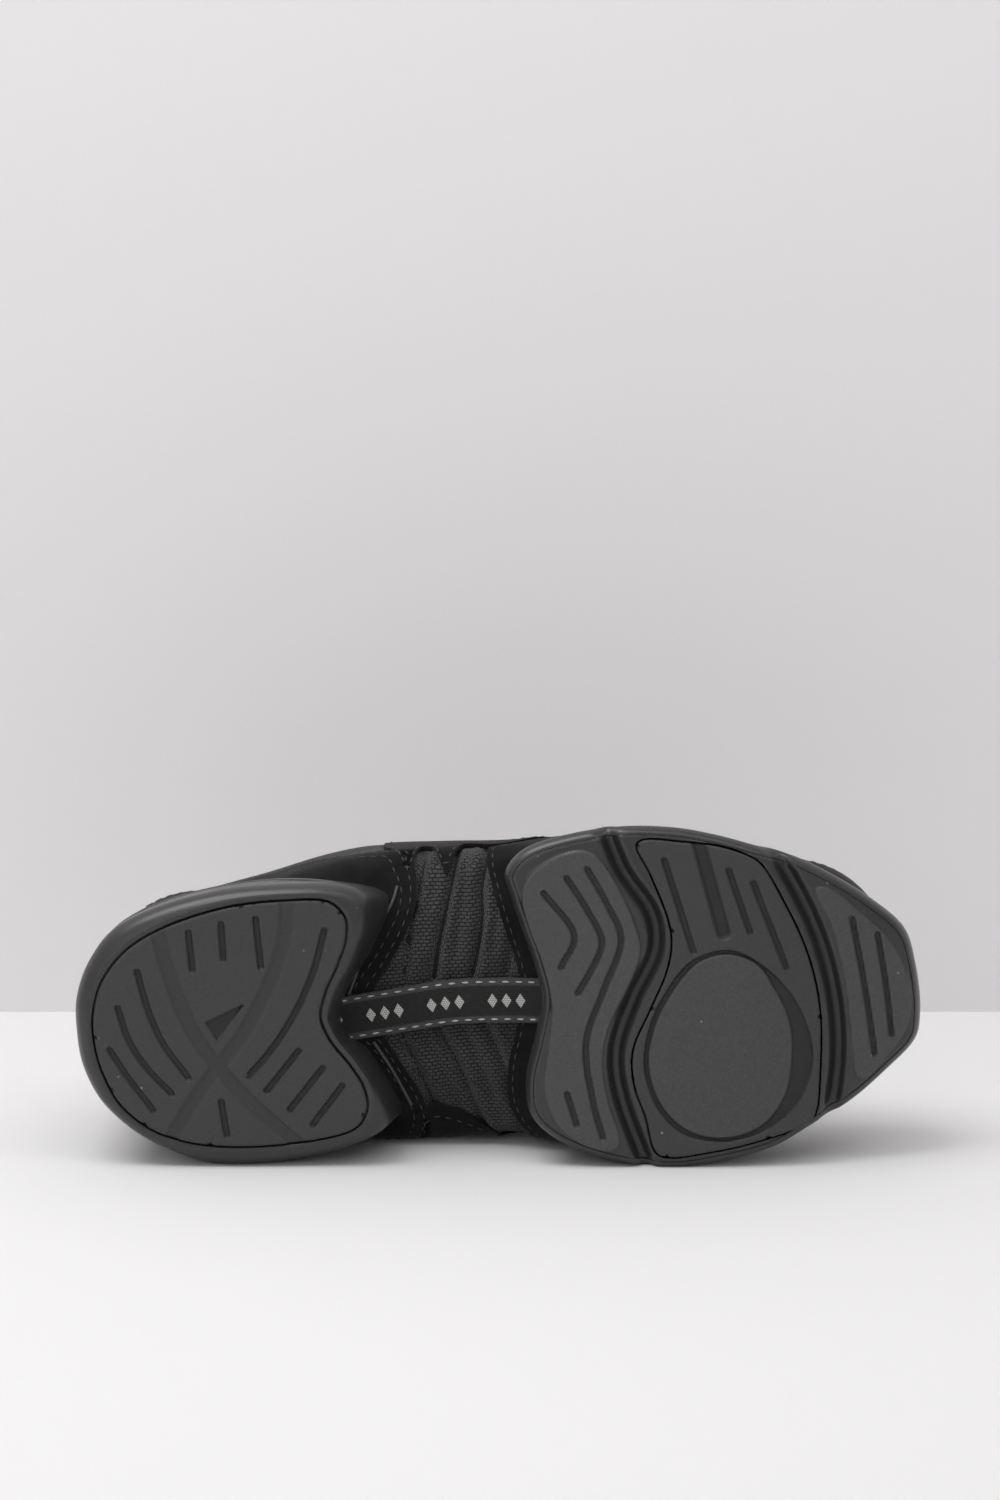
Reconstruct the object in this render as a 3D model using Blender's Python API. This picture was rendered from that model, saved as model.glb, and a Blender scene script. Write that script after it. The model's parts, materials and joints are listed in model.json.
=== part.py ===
"""Split-sole dance sneaker, right shoe, lying on its medial side.

The shoe is modelled in its own frame: X runs from heel to toe, Y to the medial side and Z
up from the plane that the heel tread and the forefoot pads would stand on. One empty then
lays the whole shoe down, on the edges of its two soles and the side of its upper.
"""
import math
from collections import namedtuple

import bmesh
import bpy
import numpy as np
from mathutils import Matrix, Vector

# Driving dimensions of the two soles, in metres
SOLE_LENGTH = 0.250
HEEL_WIDTH = 0.084
FOREFOOT_WIDTH = 0.1035
HEEL_RIM_HEIGHT = 0.023
FOREFOOT_RIM_HEIGHT = 0.0135
TOE_SPRING = 0.015
SOLE_EDGE_RISE = 0.0008
TREAD_THICKNESS = 0.0035
TREAD_LINE = 0.0006
TREAD_BORDER = 0.0022
HEEL_GROOVE_DEPTH = 0.0012
FLEX_GROOVE_WIDTH = 0.0045
FLEX_GROOVE_DEPTH = 0.0028
SLOT_WIDTH = 0.0017
SLOT_DEPTH = 0.0009
CROSS_WIDTH = 0.0040
CROSS_DEPTH = 0.0005
CRESCENT_DEPTH = 0.0009

# Driving dimensions of the upper and what it holds. The last stands inside the soles' outer
# edges by a ledge on each side.
SEAT_LEDGE = 0.0030
WAIST_LEDGE = 0.0005
BALL_LEDGE = 0.00675
SEAT_WIDTH = HEEL_WIDTH - 2 * SEAT_LEDGE
WAIST_WIDTH = HEEL_WIDTH - 2 * WAIST_LEDGE
BALL_WIDTH = FOREFOOT_WIDTH - 2 * BALL_LEDGE
SEAT_HEIGHT = 0.015
ARCH_HEIGHT = 0.0215
BALL_HEIGHT = 0.009
INSTEP_HEIGHT = 0.090
TOE_BOX_HEIGHT = 0.044
COLLAR_HEIGHT = 0.064
BACK_HEIGHT = 0.082
UPPER_WALL = 0.0016
OVERLAY_THICKNESS = 0.0012
LASTING_MARGIN = 0.013
THROAT_WIDTH = 0.020
TONGUE_WIDTH = 0.050
TONGUE_THICKNESS = 0.0035
INSOLE_THICKNESS = 0.0035
TAPE_WIDTH = 0.0135
TAPE_THICKNESS = 0.0010
EYELET_PAIRS = 5
EYELET_HOLE = 0.0040
EYELET_INSET = 0.0070
EYELET_END_MARGIN = 0.012
EYELET_TOP_MARGIN = 0.006
TONGUE_RISE = 0.022
TONGUE_CORNER = 0.006
SEAT_OPENING_REACH = 0.010
LACE_THICKNESS = 0.0032

# Clearance between pieces that lie against each other
GAP = 0.0003

# Where things lie along the shoe, from the back of the heel
TOE_SPRING_START = 0.76 * SOLE_LENGTH
THROAT_TOE_END = 0.70 * SOLE_LENGTH
THROAT_TOP = 0.43 * SOLE_LENGTH

# Weights used only to find how the shoe lies, in kilograms per cubic metre
DENSITY = {"rubber": 1150.0, "foam": 420.0, "suede": 700.0, "mesh": 450.0, "cord": 600.0}

HEEL = Vector((SOLE_LENGTH, HEEL_WIDTH))
FORE = Vector((SOLE_LENGTH, FOREFOOT_WIDTH))


# Curves and outlines

def smooth(rows, steps, closed=True):
    """Centripetal Catmull-Rom curve through rows whose first two columns are a place."""
    table = np.array(rows, dtype=float)
    if not closed:
        table = np.vstack([2 * table[0] - table[1], table, 2 * table[-1] - table[-2]])
    count = len(table)
    spans = range(count) if closed else range(1, count - 2)
    result = []
    for span in spans:
        p = [table[(span + k) % count] for k in (-1, 0, 1, 2)]
        t = [0.0]
        for a, b in zip(p, p[1:]):
            t.append(t[-1] + max(np.linalg.norm((b - a)[:2]), 1e-9) ** 0.5)
        for step in range(steps):
            u = t[1] + (t[2] - t[1]) * step / steps
            a = [(p[k] * (t[k + 1] - u) + p[k + 1] * (u - t[k])) / (t[k + 1] - t[k]) for k in range(3)]
            b = [(a[k] * (t[k + 2] - u) + a[k + 1] * (u - t[k])) / (t[k + 2] - t[k]) for k in range(2)]
            result.append((b[0] * (t[2] - u) + b[1] * (u - t[1])) / (t[2] - t[1]))
    if not closed:
        result.append(table[-2])
    return np.array(result)


def scaled(rows, size):
    """Places given as shares of a length and a width, as sizes."""
    return [(x * size.x, y * size.y) for x, y in rows]


def grown(outline, amount):
    """A closed outline moved outwards by an amount, in plan."""
    places = np.array(outline, dtype=float)[:, :2]
    ahead = np.roll(places, -1, axis=0) - places
    ahead /= np.linalg.norm(ahead, axis=1)[:, None]
    along = ahead + np.roll(ahead, 1, axis=0)
    along /= np.linalg.norm(along, axis=1)[:, None]
    area = np.sum(places[:, 0] * np.roll(places[:, 1], -1) - places[:, 1] * np.roll(places[:, 0], -1))
    side = 1.0 if area > 0 else -1.0
    return places + side * amount * np.stack([along[:, 1], -along[:, 0]], axis=1)


def ribbon(centre, width, end_steps=2):
    """Outline of a strip along a centre line, with round ends."""
    places = np.array(centre, dtype=float)
    along = np.gradient(places, axis=0)
    along /= np.linalg.norm(along, axis=1)[:, None]
    across = np.stack([-along[:, 1], along[:, 0]], axis=1) * width / 2
    left = list(places + across)
    right = list(places - across)

    def cap(at, start):
        turn = [math.pi * k / end_steps for k in range(1, end_steps)]
        return [at + np.array([start[0] * math.cos(a) + start[1] * math.sin(a),
                               start[1] * math.cos(a) - start[0] * math.sin(a)]) for a in turn]

    return left + cap(places[-1], across[-1]) + right[::-1] + cap(places[0], -across[0])


def toe_lift(x):
    """How far the toe spring lifts the shoe at a distance from the heel."""
    reach = SOLE_LENGTH - TOE_SPRING_START
    return TOE_SPRING * (max(x - TOE_SPRING_START, 0.0) / reach) ** 2


TOE_STRIPS = 4


# Collections, materials and solids

def collection(name):
    made = bpy.data.collections.new(name)
    bpy.context.scene.collection.children.link(made)
    return made


def material(name, colour, roughness, metallic=0.0):
    made = bpy.data.materials.new(name)
    made.use_nodes = True
    shader = made.node_tree.nodes["Principled BSDF"]
    shader.inputs["Base Color"].default_value = (*colour, 1.0)
    shader.inputs["Roughness"].default_value = roughness
    shader.inputs["Metallic"].default_value = metallic
    made.diffuse_color = (*colour, 1.0)
    return made


def add_object(name, mesh, home):
    made = bpy.data.objects.new(name, mesh)
    home.objects.link(made)
    if home == cutters:
        made.hide_render = True
        made.display_type = "WIRE"
    return made


def mesh_from(build, name):
    """A mesh from a bmesh, with its faces pointing out."""
    bmesh.ops.remove_doubles(build, verts=build.verts, dist=1e-6)
    bmesh.ops.recalc_face_normals(build, faces=build.faces)
    mesh = bpy.data.meshes.new(name)
    build.to_mesh(mesh)
    build.free()
    return mesh


def plate(name, outline, low, high, home, side_view=False):
    """A flat outline with a thickness: in plan, or in side view across the shoe."""
    curve = bpy.data.curves.new(name, "CURVE")
    curve.dimensions = "2D"
    curve.fill_mode = "BOTH"
    curve.extrude = (high - low) / 2
    spline = curve.splines.new("POLY")
    spline.points.add(len(outline) - 1)
    for point, place in zip(spline.points, outline):
        point.co = (place[0], place[1], 0.0, 1.0)
    spline.use_cyclic_u = True
    drawn = add_object(name, curve, cutters)
    if side_view:
        drawn.rotation_euler = (math.pi / 2, 0.0, 0.0)
        drawn.location = (0.0, -(low + high) / 2, 0.0)
    else:
        drawn.location = (0.0, 0.0, (low + high) / 2)
    bpy.context.view_layer.update()
    mesh = bpy.data.meshes.new_from_object(drawn.evaluated_get(bpy.context.evaluated_depsgraph_get()))
    mesh.transform(drawn.matrix_world)
    bpy.data.objects.remove(drawn)
    build = bmesh.new()
    build.from_mesh(mesh)
    bpy.data.meshes.remove(mesh)
    return add_object(name, mesh_from(build, name), home)


def stack(name, rings, home):
    """A closed solid through rings with equal counts of points, from bottom to top."""
    build = bmesh.new()
    loops = [[build.verts.new(place) for place in ring] for ring in rings]
    for low, high in zip(loops, loops[1:]):
        for k in range(len(low)):
            build.faces.new((low[k - 1], low[k], high[k], high[k - 1]))
    build.faces.new(loops[0])
    build.faces.new(loops[-1])
    return add_object(name, mesh_from(build, name), home)


def combine(piece, other, operation):
    """Cut, join or intersect a piece with another solid."""
    change = piece.modifiers.new(other.name, "BOOLEAN")
    change.operation = operation
    change.solver = "EXACT"
    change.object = other


def settle(piece):
    """Turn a piece's modifiers into its own mesh."""
    bpy.context.view_layer.update()
    mesh = bpy.data.meshes.new_from_object(piece.evaluated_get(bpy.context.evaluated_depsgraph_get()))
    piece.modifiers.clear()
    piece.data = mesh


def bend_toe(piece):
    """Cut a flat piece into strips across the toe and lift each by the toe spring."""
    settle(piece)
    build = bmesh.new()
    build.from_mesh(piece.data)
    for k in range(TOE_STRIPS):
        at = TOE_SPRING_START + (1.01 * SOLE_LENGTH - TOE_SPRING_START) * k / TOE_STRIPS
        everything = list(build.verts) + list(build.edges) + list(build.faces)
        bmesh.ops.bisect_plane(build, geom=everything, plane_co=(at, 0, 0), plane_no=(1, 0, 0), dist=1e-6)
    for vertex in build.verts:
        vertex.co.z += toe_lift(vertex.co.x)
    bmesh.ops.triangulate(build, faces=build.faces)
    build.to_mesh(piece.data)
    build.free()


# The form: the foot-shaped body that every layer of the upper is drawn on

Station = namedtuple("Station", "at lateral medial bottom widest top edge crown")

STATIONS = (
    Station(0.145 * SOLE_LENGTH, 0.400 * SEAT_WIDTH, 0.425 * SEAT_WIDTH,
            1.00 * SEAT_HEIGHT, 0.44 * COLLAR_HEIGHT, 1.16 * INSTEP_HEIGHT, 4.2, 2.2),
    Station(0.220 * SOLE_LENGTH, 0.440 * SEAT_WIDTH, 0.465 * SEAT_WIDTH,
            1.06 * SEAT_HEIGHT, 0.56 * COLLAR_HEIGHT, 1.22 * INSTEP_HEIGHT, 4.2, 2.4),
    Station(0.300 * SOLE_LENGTH, 0.466 * WAIST_WIDTH, 0.478 * WAIST_WIDTH,
            0.92 * ARCH_HEIGHT, 0.44 * INSTEP_HEIGHT, 1.22 * INSTEP_HEIGHT, 3.2, 2.5),
    Station(0.370 * SOLE_LENGTH, 0.493 * WAIST_WIDTH, 0.502 * WAIST_WIDTH,
            1.00 * ARCH_HEIGHT, 0.43 * INSTEP_HEIGHT, 1.13 * INSTEP_HEIGHT, 2.6, 2.5),
    Station(0.450 * SOLE_LENGTH, 0.500 * WAIST_WIDTH, 0.502 * WAIST_WIDTH,
            1.00 * ARCH_HEIGHT, 0.42 * INSTEP_HEIGHT, 1.00 * INSTEP_HEIGHT, 2.5, 2.3),
    Station(0.520 * SOLE_LENGTH, 0.500 * WAIST_WIDTH, 0.510 * WAIST_WIDTH,
            0.84 * ARCH_HEIGHT, 0.39 * INSTEP_HEIGHT, 0.88 * INSTEP_HEIGHT, 2.8, 2.3),
    Station(0.600 * SOLE_LENGTH, 0.480 * BALL_WIDTH, 0.495 * BALL_WIDTH,
            1.25 * BALL_HEIGHT, 0.33 * INSTEP_HEIGHT, 0.75 * INSTEP_HEIGHT, 3.8, 2.3),
    Station(0.680 * SOLE_LENGTH, 0.492 * BALL_WIDTH, 0.508 * BALL_WIDTH,
            1.00 * BALL_HEIGHT, 0.28 * INSTEP_HEIGHT, 0.64 * INSTEP_HEIGHT, 4.5, 2.4),
    Station(0.760 * SOLE_LENGTH, 0.440 * BALL_WIDTH, 0.490 * BALL_WIDTH,
            0.94 * BALL_HEIGHT, 0.56 * TOE_BOX_HEIGHT, 1.14 * TOE_BOX_HEIGHT, 4.5, 2.5),
    Station(0.830 * SOLE_LENGTH, 0.365 * BALL_WIDTH, 0.435 * BALL_WIDTH,
            0.94 * BALL_HEIGHT, 0.52 * TOE_BOX_HEIGHT, 1.00 * TOE_BOX_HEIGHT, 4.5, 2.6),
)
HEEL_REACH = 0.127 * SOLE_LENGTH
TOE_REACH = 0.138 * SOLE_LENGTH
SPINE_STEPS = 2
HEEL_FAN = 7
TOE_FAN = 9
PROFILE_LOW = 4
PROFILE_HIGH = 5


def spine():
    """The form's stations, with more between them."""
    return [Station(*row) for row in smooth(STATIONS, SPINE_STEPS, closed=False)]


def ribs():
    """Half sections around the form: foot of the rib, its outer end in plan, its station."""
    rows = spine()
    back = rows[0]
    front = rows[-1]
    result = []
    for k in range(1, HEEL_FAN):
        turn = math.pi * (k / HEEL_FAN - 0.5)
        width = back.medial if turn < 0 else back.lateral
        end = (back.at - HEEL_REACH * math.cos(turn) ** 0.9, -width * math.sin(turn))
        result.append((back, end))
    for row in rows:
        result.append((row, (row.at, -row.lateral)))
    for k in range(1, TOE_FAN):
        turn = math.pi * (k / TOE_FAN - 0.5)
        width = front.lateral if turn < 0 else front.medial
        side = math.copysign(abs(math.sin(turn)) ** 0.95, turn)
        end = (front.at + TOE_REACH * math.cos(turn) ** 0.85, width * side)
        result.append((front, end))
    for row in reversed(rows):
        result.append((row, (row.at, row.medial)))
    return result


def rib_profile(station, end):
    """Points of one half section, from the bottom line over the widest place to the top."""
    result = []
    for k in range(-PROFILE_LOW, PROFILE_HIGH + 1):
        low = k < 0
        turn = math.pi / 2 * (k / PROFILE_LOW if low else k / PROFILE_HIGH)
        power = station.edge if low else station.crown
        share = max(math.cos(turn), 0.0) ** (2.0 / power)
        rise = abs(math.sin(turn)) ** (2.0 / power)
        reach = station.bottom if low else station.top
        x = station.at + share * (end[0] - station.at)
        z = station.widest + rise * (reach - station.widest)
        result.append(Vector((x, share * end[1], z + toe_lift(x))))
    return result


def form(offset, name):
    """The foot-shaped body, moved outwards by an offset."""
    build = bmesh.new()
    grid = [[build.verts.new(place) for place in rib_profile(*rib)] for rib in ribs()]
    for first, second in zip(grid, grid[1:] + grid[:1]):
        for k in range(len(first) - 1):
            build.faces.new((first[k], second[k], second[k + 1], first[k + 1]))
    bmesh.ops.remove_doubles(build, verts=build.verts, dist=1e-6)
    bmesh.ops.recalc_face_normals(build, faces=build.faces)
    bmesh.ops.triangulate(build, faces=build.faces)
    build.normal_update()
    moved = [vertex.co + vertex.normal * offset for vertex in build.verts]
    for vertex, place in zip(build.verts, moved):
        vertex.co = place
    return add_object(name, mesh_from(build, name), cutters)


def station_at(x):
    """The form's sizes at a distance from the heel."""
    rows = spine()
    places = [row.at for row in rows]
    return Station(*[float(np.interp(x, places, [row[k] for row in rows])) for k in range(len(rows[0]))])


def top_height(x, y):
    """Height of the form's top at a place in plan."""
    row = station_at(x)
    half = row.medial if y > 0 else row.lateral
    share = min(abs(y) / half, 1.0)
    rise = (1.0 - share ** row.crown) ** (1.0 / row.crown)
    return row.widest + rise * (row.top - row.widest) + toe_lift(x)


def over_top(x, y, lift):
    """A place above the form's top, square to its surface."""
    step = GAP
    slope_x = (top_height(x + step, y) - top_height(x - step, y)) / (2 * step)
    slope_y = (top_height(x, y + step) - top_height(x, y - step)) / (2 * step)
    out = Vector((-slope_x, -slope_y, 1.0)).normalized()
    return Vector((x, y, top_height(x, y))) + out * lift


# Heel unit: tread outline, side wall and rim as shares of the sole's length and the heel's
# width, rim height as a share of its height, and how deep the side groove is

HeelRow = namedtuple("HeelRow", "tread_x tread_y wall_x wall_y rim_x rim_y rim_z groove")

HEEL_ROWS = (
    HeelRow(0.022, 0.020, -0.001, 0.000, 0.005, 0.000, 0.96, 1.0),
    HeelRow(0.024, -0.085, 0.002, -0.130, 0.009, -0.125, 0.96, 1.0),
    HeelRow(0.040, -0.205, 0.022, -0.265, 0.029, -0.255, 0.94, 1.0),
    HeelRow(0.077, -0.313, 0.058, -0.375, 0.064, -0.362, 0.91, 1.0),
    HeelRow(0.130, -0.382, 0.115, -0.442, 0.119, -0.430, 0.89, 1.0),
    HeelRow(0.199, -0.427, 0.190, -0.483, 0.195, -0.470, 0.88, 1.0),
    HeelRow(0.262, -0.434, 0.262, -0.488, 0.262, -0.478, 0.89, 0.8),
    HeelRow(0.303, -0.426, 0.318, -0.476, 0.325, -0.450, 0.96, 0.0),
    HeelRow(0.324, -0.376, 0.350, -0.430, 0.370, -0.408, 1.04, 0.0),
    HeelRow(0.326, -0.300, 0.356, -0.340, 0.380, -0.345, 1.06, 0.0),
    HeelRow(0.313, -0.200, 0.338, -0.200, 0.357, -0.200, 1.04, 0.0),
    HeelRow(0.297, -0.107, 0.317, -0.100, 0.330, -0.090, 1.00, 0.0),
    HeelRow(0.289, -0.015, 0.305, 0.000, 0.315, 0.005, 0.97, 0.0),
    HeelRow(0.299, 0.075, 0.312, 0.080, 0.320, 0.085, 0.96, 0.0),
    HeelRow(0.320, 0.165, 0.333, 0.155, 0.342, 0.145, 0.96, 0.0),
    HeelRow(0.335, 0.250, 0.352, 0.250, 0.359, 0.245, 0.97, 0.0),
    HeelRow(0.336, 0.331, 0.364, 0.350, 0.375, 0.360, 1.00, 0.0),
    HeelRow(0.318, 0.394, 0.350, 0.425, 0.368, 0.420, 1.02, 0.0),
    HeelRow(0.275, 0.421, 0.300, 0.478, 0.310, 0.464, 0.98, 0.0),
    HeelRow(0.201, 0.431, 0.211, 0.508, 0.216, 0.490, 0.94, 1.0),
    HeelRow(0.144, 0.415, 0.143, 0.493, 0.150, 0.476, 0.94, 1.0),
    HeelRow(0.095, 0.370, 0.080, 0.408, 0.087, 0.395, 0.95, 1.0),
    HeelRow(0.052, 0.270, 0.030, 0.280, 0.037, 0.272, 0.96, 1.0),
    HeelRow(0.030, 0.140, 0.005, 0.135, 0.012, 0.132, 0.96, 1.0),
)

# Side of the heel unit from its bottom edge up: height as a share of the rim's height,
# how far from wall to rim, how much of the bottom edge is left, and of the side groove
HeelLevel = namedtuple("HeelLevel", "height to_rim edge groove")

HEEL_LEVELS = (
    HeelLevel(0.00, 0.0, 1.00, 0.0),
    HeelLevel(0.06, 0.0, 0.50, 0.0),
    HeelLevel(0.24, 0.0, 0.00, 0.0),
    HeelLevel(0.52, 0.4, 0.00, 0.0),
    HeelLevel(0.57, 0.5, 0.00, 1.0),
    HeelLevel(0.73, 0.6, 0.00, 1.0),
    HeelLevel(0.78, 0.7, 0.00, 0.0),
    HeelLevel(0.96, 0.9, 0.00, 0.0),
    HeelLevel(1.00, 1.0, 0.00, 0.3),
)

HEEL_SLOTS = {
    "top_a": ((0.142, -0.345), (0.143, -0.213)),
    "top_b": ((0.181, -0.369), (0.181, -0.246)),
    "top_c": ((0.222, -0.379), (0.224, -0.209)),
    "back_a": ((0.078, -0.218), (0.087, -0.085), (0.102, 0.042), (0.129, 0.171)),
    "back_b": ((0.052, -0.092), (0.062, 0.025), (0.081, 0.128), (0.108, 0.225)),
    "back_c": ((0.039, 0.056), (0.056, 0.148), (0.085, 0.282)),
    "front_a": ((0.302, -0.324), (0.285, -0.175), (0.260, -0.033), (0.229, 0.093), (0.201, 0.178)),
    "front_b": ((0.262, 0.100), (0.221, 0.236)),
    "front_c": ((0.289, 0.167), (0.247, 0.308)),
    "front_d": ((0.311, 0.234), (0.273, 0.367)),
    "low": ((0.166, 0.266), (0.170, 0.387)),
}
HEEL_CROSS = {
    "cross_a": ((0.102, -0.420), (0.115, -0.211), (0.143, 0.034), (0.192, 0.243), (0.262, 0.460)),
    "cross_b": ((0.262, -0.470), (0.252, -0.281), (0.207, -0.010), (0.138, 0.240), (0.094, 0.430)),
}
HEEL_TRIANGLE = ((0.154, -0.021), (0.201, -0.078), (0.166, 0.043))

# Forefoot unit: side wall as shares of the sole's length and the forefoot's width, then
# how far the rim leans in, and its height, as shares of the rim's height

ForeRow = namedtuple("ForeRow", "x y lean rim")

FORE_ROWS = (
    ForeRow(0.519, -0.395, 0.20, 1.10),
    ForeRow(0.546, -0.460, 0.28, 1.06),
    ForeRow(0.600, -0.493, 0.30, 1.00),
    ForeRow(0.660, -0.505, 0.30, 0.96),
    ForeRow(0.720, -0.493, 0.30, 0.94),
    ForeRow(0.770, -0.464, 0.28, 0.94),
    ForeRow(0.815, -0.426, 0.26, 0.96),
    ForeRow(0.860, -0.386, 0.24, 1.00),
    ForeRow(0.905, -0.322, 0.22, 1.06),
    ForeRow(0.950, -0.240, 0.20, 1.14),
    ForeRow(0.990, -0.142, 0.16, 1.22),
    ForeRow(1.003, -0.030, 0.14, 1.26),
    ForeRow(1.006, 0.120, 0.14, 1.26),
    ForeRow(0.997, 0.195, 0.16, 1.22),
    ForeRow(0.960, 0.268, 0.20, 1.14),
    ForeRow(0.915, 0.342, 0.22, 1.06),
    ForeRow(0.868, 0.397, 0.24, 1.00),
    ForeRow(0.815, 0.456, 0.26, 0.96),
    ForeRow(0.757, 0.483, 0.28, 0.94),
    ForeRow(0.702, 0.496, 0.28, 0.94),
    ForeRow(0.650, 0.479, 0.28, 0.96),
    ForeRow(0.600, 0.443, 0.26, 1.00),
    ForeRow(0.556, 0.385, 0.20, 1.06),
    ForeRow(0.531, 0.315, 0.12, 1.12),
    ForeRow(0.528, 0.215, 0.05, 1.20),
    ForeRow(0.543, 0.085, 0.05, 1.20),
    ForeRow(0.553, -0.020, 0.05, 1.20),
    ForeRow(0.546, -0.125, 0.05, 1.20),
    ForeRow(0.533, -0.235, 0.05, 1.20),
    ForeRow(0.523, -0.330, 0.10, 1.16),
)

# Side of the forefoot unit from its bottom edge up, as for the heel
ForeLevel = namedtuple("ForeLevel", "height to_rim edge groove")

FORE_LEVELS = (
    ForeLevel(0.00, 0.0, 1.00, 0.0),
    ForeLevel(0.14, 0.0, 0.25, 0.0),
    ForeLevel(0.50, 0.2, 0.00, 0.0),
    ForeLevel(0.62, 0.7, 0.00, 1.0),
    ForeLevel(0.90, 0.9, 0.00, 0.0),
    ForeLevel(1.00, 1.0, 0.00, 0.6),
)

REAR_PAD = (
    (0.537, -0.330), (0.545, -0.378), (0.566, -0.417), (0.590, -0.441), (0.612, -0.446),
    (0.629, -0.424), (0.650, -0.340), (0.669, -0.217), (0.673, -0.150), (0.656, -0.043),
    (0.631, 0.060), (0.620, 0.170), (0.624, 0.284), (0.635, 0.405), (0.626, 0.430),
    (0.604, 0.421), (0.581, 0.390), (0.560, 0.335), (0.549, 0.236), (0.557, 0.120),
    (0.564, 0.000), (0.556, -0.130), (0.543, -0.230),
)
TOE_PAD = (
    (0.884, -0.288), (0.900, -0.287), (0.933, -0.215), (0.968, -0.123), (0.988, -0.025),
    (0.993, 0.076), (0.984, 0.153), (0.962, 0.212), (0.932, 0.276), (0.922, 0.268),
    (0.918, 0.165), (0.913, -0.020), (0.902, -0.170),
)
FORE_TREAD = (
    (0.676, -0.452), (0.684, -0.465), (0.727, -0.453), (0.773, -0.432), (0.812, -0.391),
    (0.824, -0.360), (0.845, -0.257), (0.864, -0.146), (0.876, -0.036), (0.881, 0.082),
    (0.877, 0.240), (0.869, 0.362), (0.858, 0.388), (0.795, 0.428), (0.740, 0.449),
    (0.690, 0.456), (0.677, 0.438), (0.668, 0.334), (0.657, 0.240), (0.658, 0.140),
    (0.682, 0.023), (0.706, -0.100), (0.711, -0.200), (0.690, -0.370),
)
FLEX_GROOVES = {
    "flex_rear": ((0.634, -0.560), (0.657, -0.385), (0.689, -0.250), (0.691, -0.150),
                  (0.661, -0.010), (0.638, 0.130), (0.638, 0.250), (0.676, 0.560)),
    "flex_toe": ((0.818, -0.480), (0.850, -0.350), (0.880, -0.184), (0.897, -0.020),
                 (0.902, 0.140), (0.895, 0.290), (0.874, 0.470)),
}
REAR_PAD_SLOTS = {
    "wave_a": ((0.563, -0.331), (0.596, -0.202), (0.578, -0.114)),
    "wave_b": ((0.591, -0.371), (0.614, -0.270), (0.628, -0.179), (0.612, -0.095), (0.596, -0.037)),
    "wave_c": ((0.616, -0.392), (0.637, -0.287), (0.651, -0.186), (0.627, -0.042), (0.602, 0.109),
               (0.606, 0.279), (0.615, 0.388)),
    "dash": ((0.576, 0.255), (0.585, 0.345)),
}
TOE_PAD_SLOTS = {
    "toe_a": ((0.926, -0.191), (0.937, 0.010), (0.945, 0.210)),
    "toe_b": ((0.956, -0.136), (0.963, 0.012), (0.967, 0.160)),
}
FORE_TREAD_SLOTS = {
    "bar_a": ((0.707, -0.405), (0.735, -0.137)),
    "bar_c": ((0.782, -0.364), (0.803, -0.183)),
    "bar_d": ((0.810, -0.323), (0.844, -0.071)),
}
FORE_TREAD_CHANNEL = ((0.744, -0.500), (0.772, -0.185))
PIVOT_DISC = (
    (0.772, -0.123), (0.808, -0.091), (0.829, -0.010), (0.844, 0.085), (0.845, 0.190),
    (0.834, 0.300), (0.806, 0.380), (0.762, 0.411), (0.718, 0.385), (0.688, 0.310),
    (0.674, 0.190), (0.684, 0.076), (0.705, -0.015), (0.737, -0.100),
)
PIVOT_HOLLOW = (
    (0.778, -0.134), (0.818, -0.078), (0.852, 0.025), (0.869, 0.150), (0.866, 0.245),
    (0.847, 0.330), (0.812, 0.393), (0.762, 0.421), (0.713, 0.395), (0.683, 0.316),
    (0.669, 0.190), (0.679, 0.070), (0.700, -0.024), (0.733, -0.110),
)


def sole_unit(name, rows, levels, grow, home):
    """A sole unit's solid: its side from level to level around its rows, closed above."""
    rings = []
    for level in levels:
        ring = []
        height = SOLE_EDGE_RISE + level.height * (rows[:, 6] - SOLE_EDGE_RISE)
        wall = rows[:, 0:2] + (rows[:, 2:4] - rows[:, 0:2]) * level.to_rim
        place = wall + (rows[:, 4:6] - wall) * level.edge
        place = np.column_stack([place, level.groove * rows[:, 7]])
        side = grown(place, 1.0) - place[:, 0:2]
        place = place[:, 0:2] + side * (grow - place[:, 2:3])
        for (x, y), z in zip(place, height):
            ring.append((x, y, z))
        rings.append(ring)
    if grow:
        rings[0] = [(x, y, z - grow) for x, y, z in rings[0]]
        rings[-1] = [(x, y, z + grow) for x, y, z in rings[-1]]
    inside = grown([place[:2] for place in rings[-1]], -LASTING_MARGIN / 2)
    rings.append([(x, y, place[2]) for (x, y), place in zip(inside, rings[-1])])
    return stack(name, rings, home)


def heel_rows():
    """Wall, rim and bottom edge of the heel unit in metres, then rim height and groove."""
    table = smooth([(row.wall_x, row.wall_y, row.tread_x, row.tread_y, row.rim_x, row.rim_y,
                     row.rim_z, row.groove) for row in HEEL_ROWS], 2)
    wall = table[:, 0:2] * np.array(HEEL)
    tread = table[:, 2:4] * np.array(HEEL)
    rim = table[:, 4:6] * np.array(HEEL)
    edge = grown(tread, TREAD_BORDER)
    return np.column_stack([wall, rim, edge, table[:, 6] * HEEL_RIM_HEIGHT,
                            table[:, 7] * HEEL_GROOVE_DEPTH]), tread


def fore_rows():
    """Wall, rim and bottom edge of the forefoot unit in metres, then rim height and groove."""
    table = smooth(FORE_ROWS, 2)
    wall = table[:, 0:2] * np.array(FORE)
    side = grown(wall, 1.0) - wall
    rim = wall - side * table[:, 2:3] * FOREFOOT_RIM_HEIGHT
    edge = wall - side * TREAD_BORDER
    groove = np.full(len(table), HEEL_GROOVE_DEPTH * 0.5)
    return np.column_stack([wall, rim, edge, table[:, 3] * FOREFOOT_RIM_HEIGHT, groove])


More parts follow.
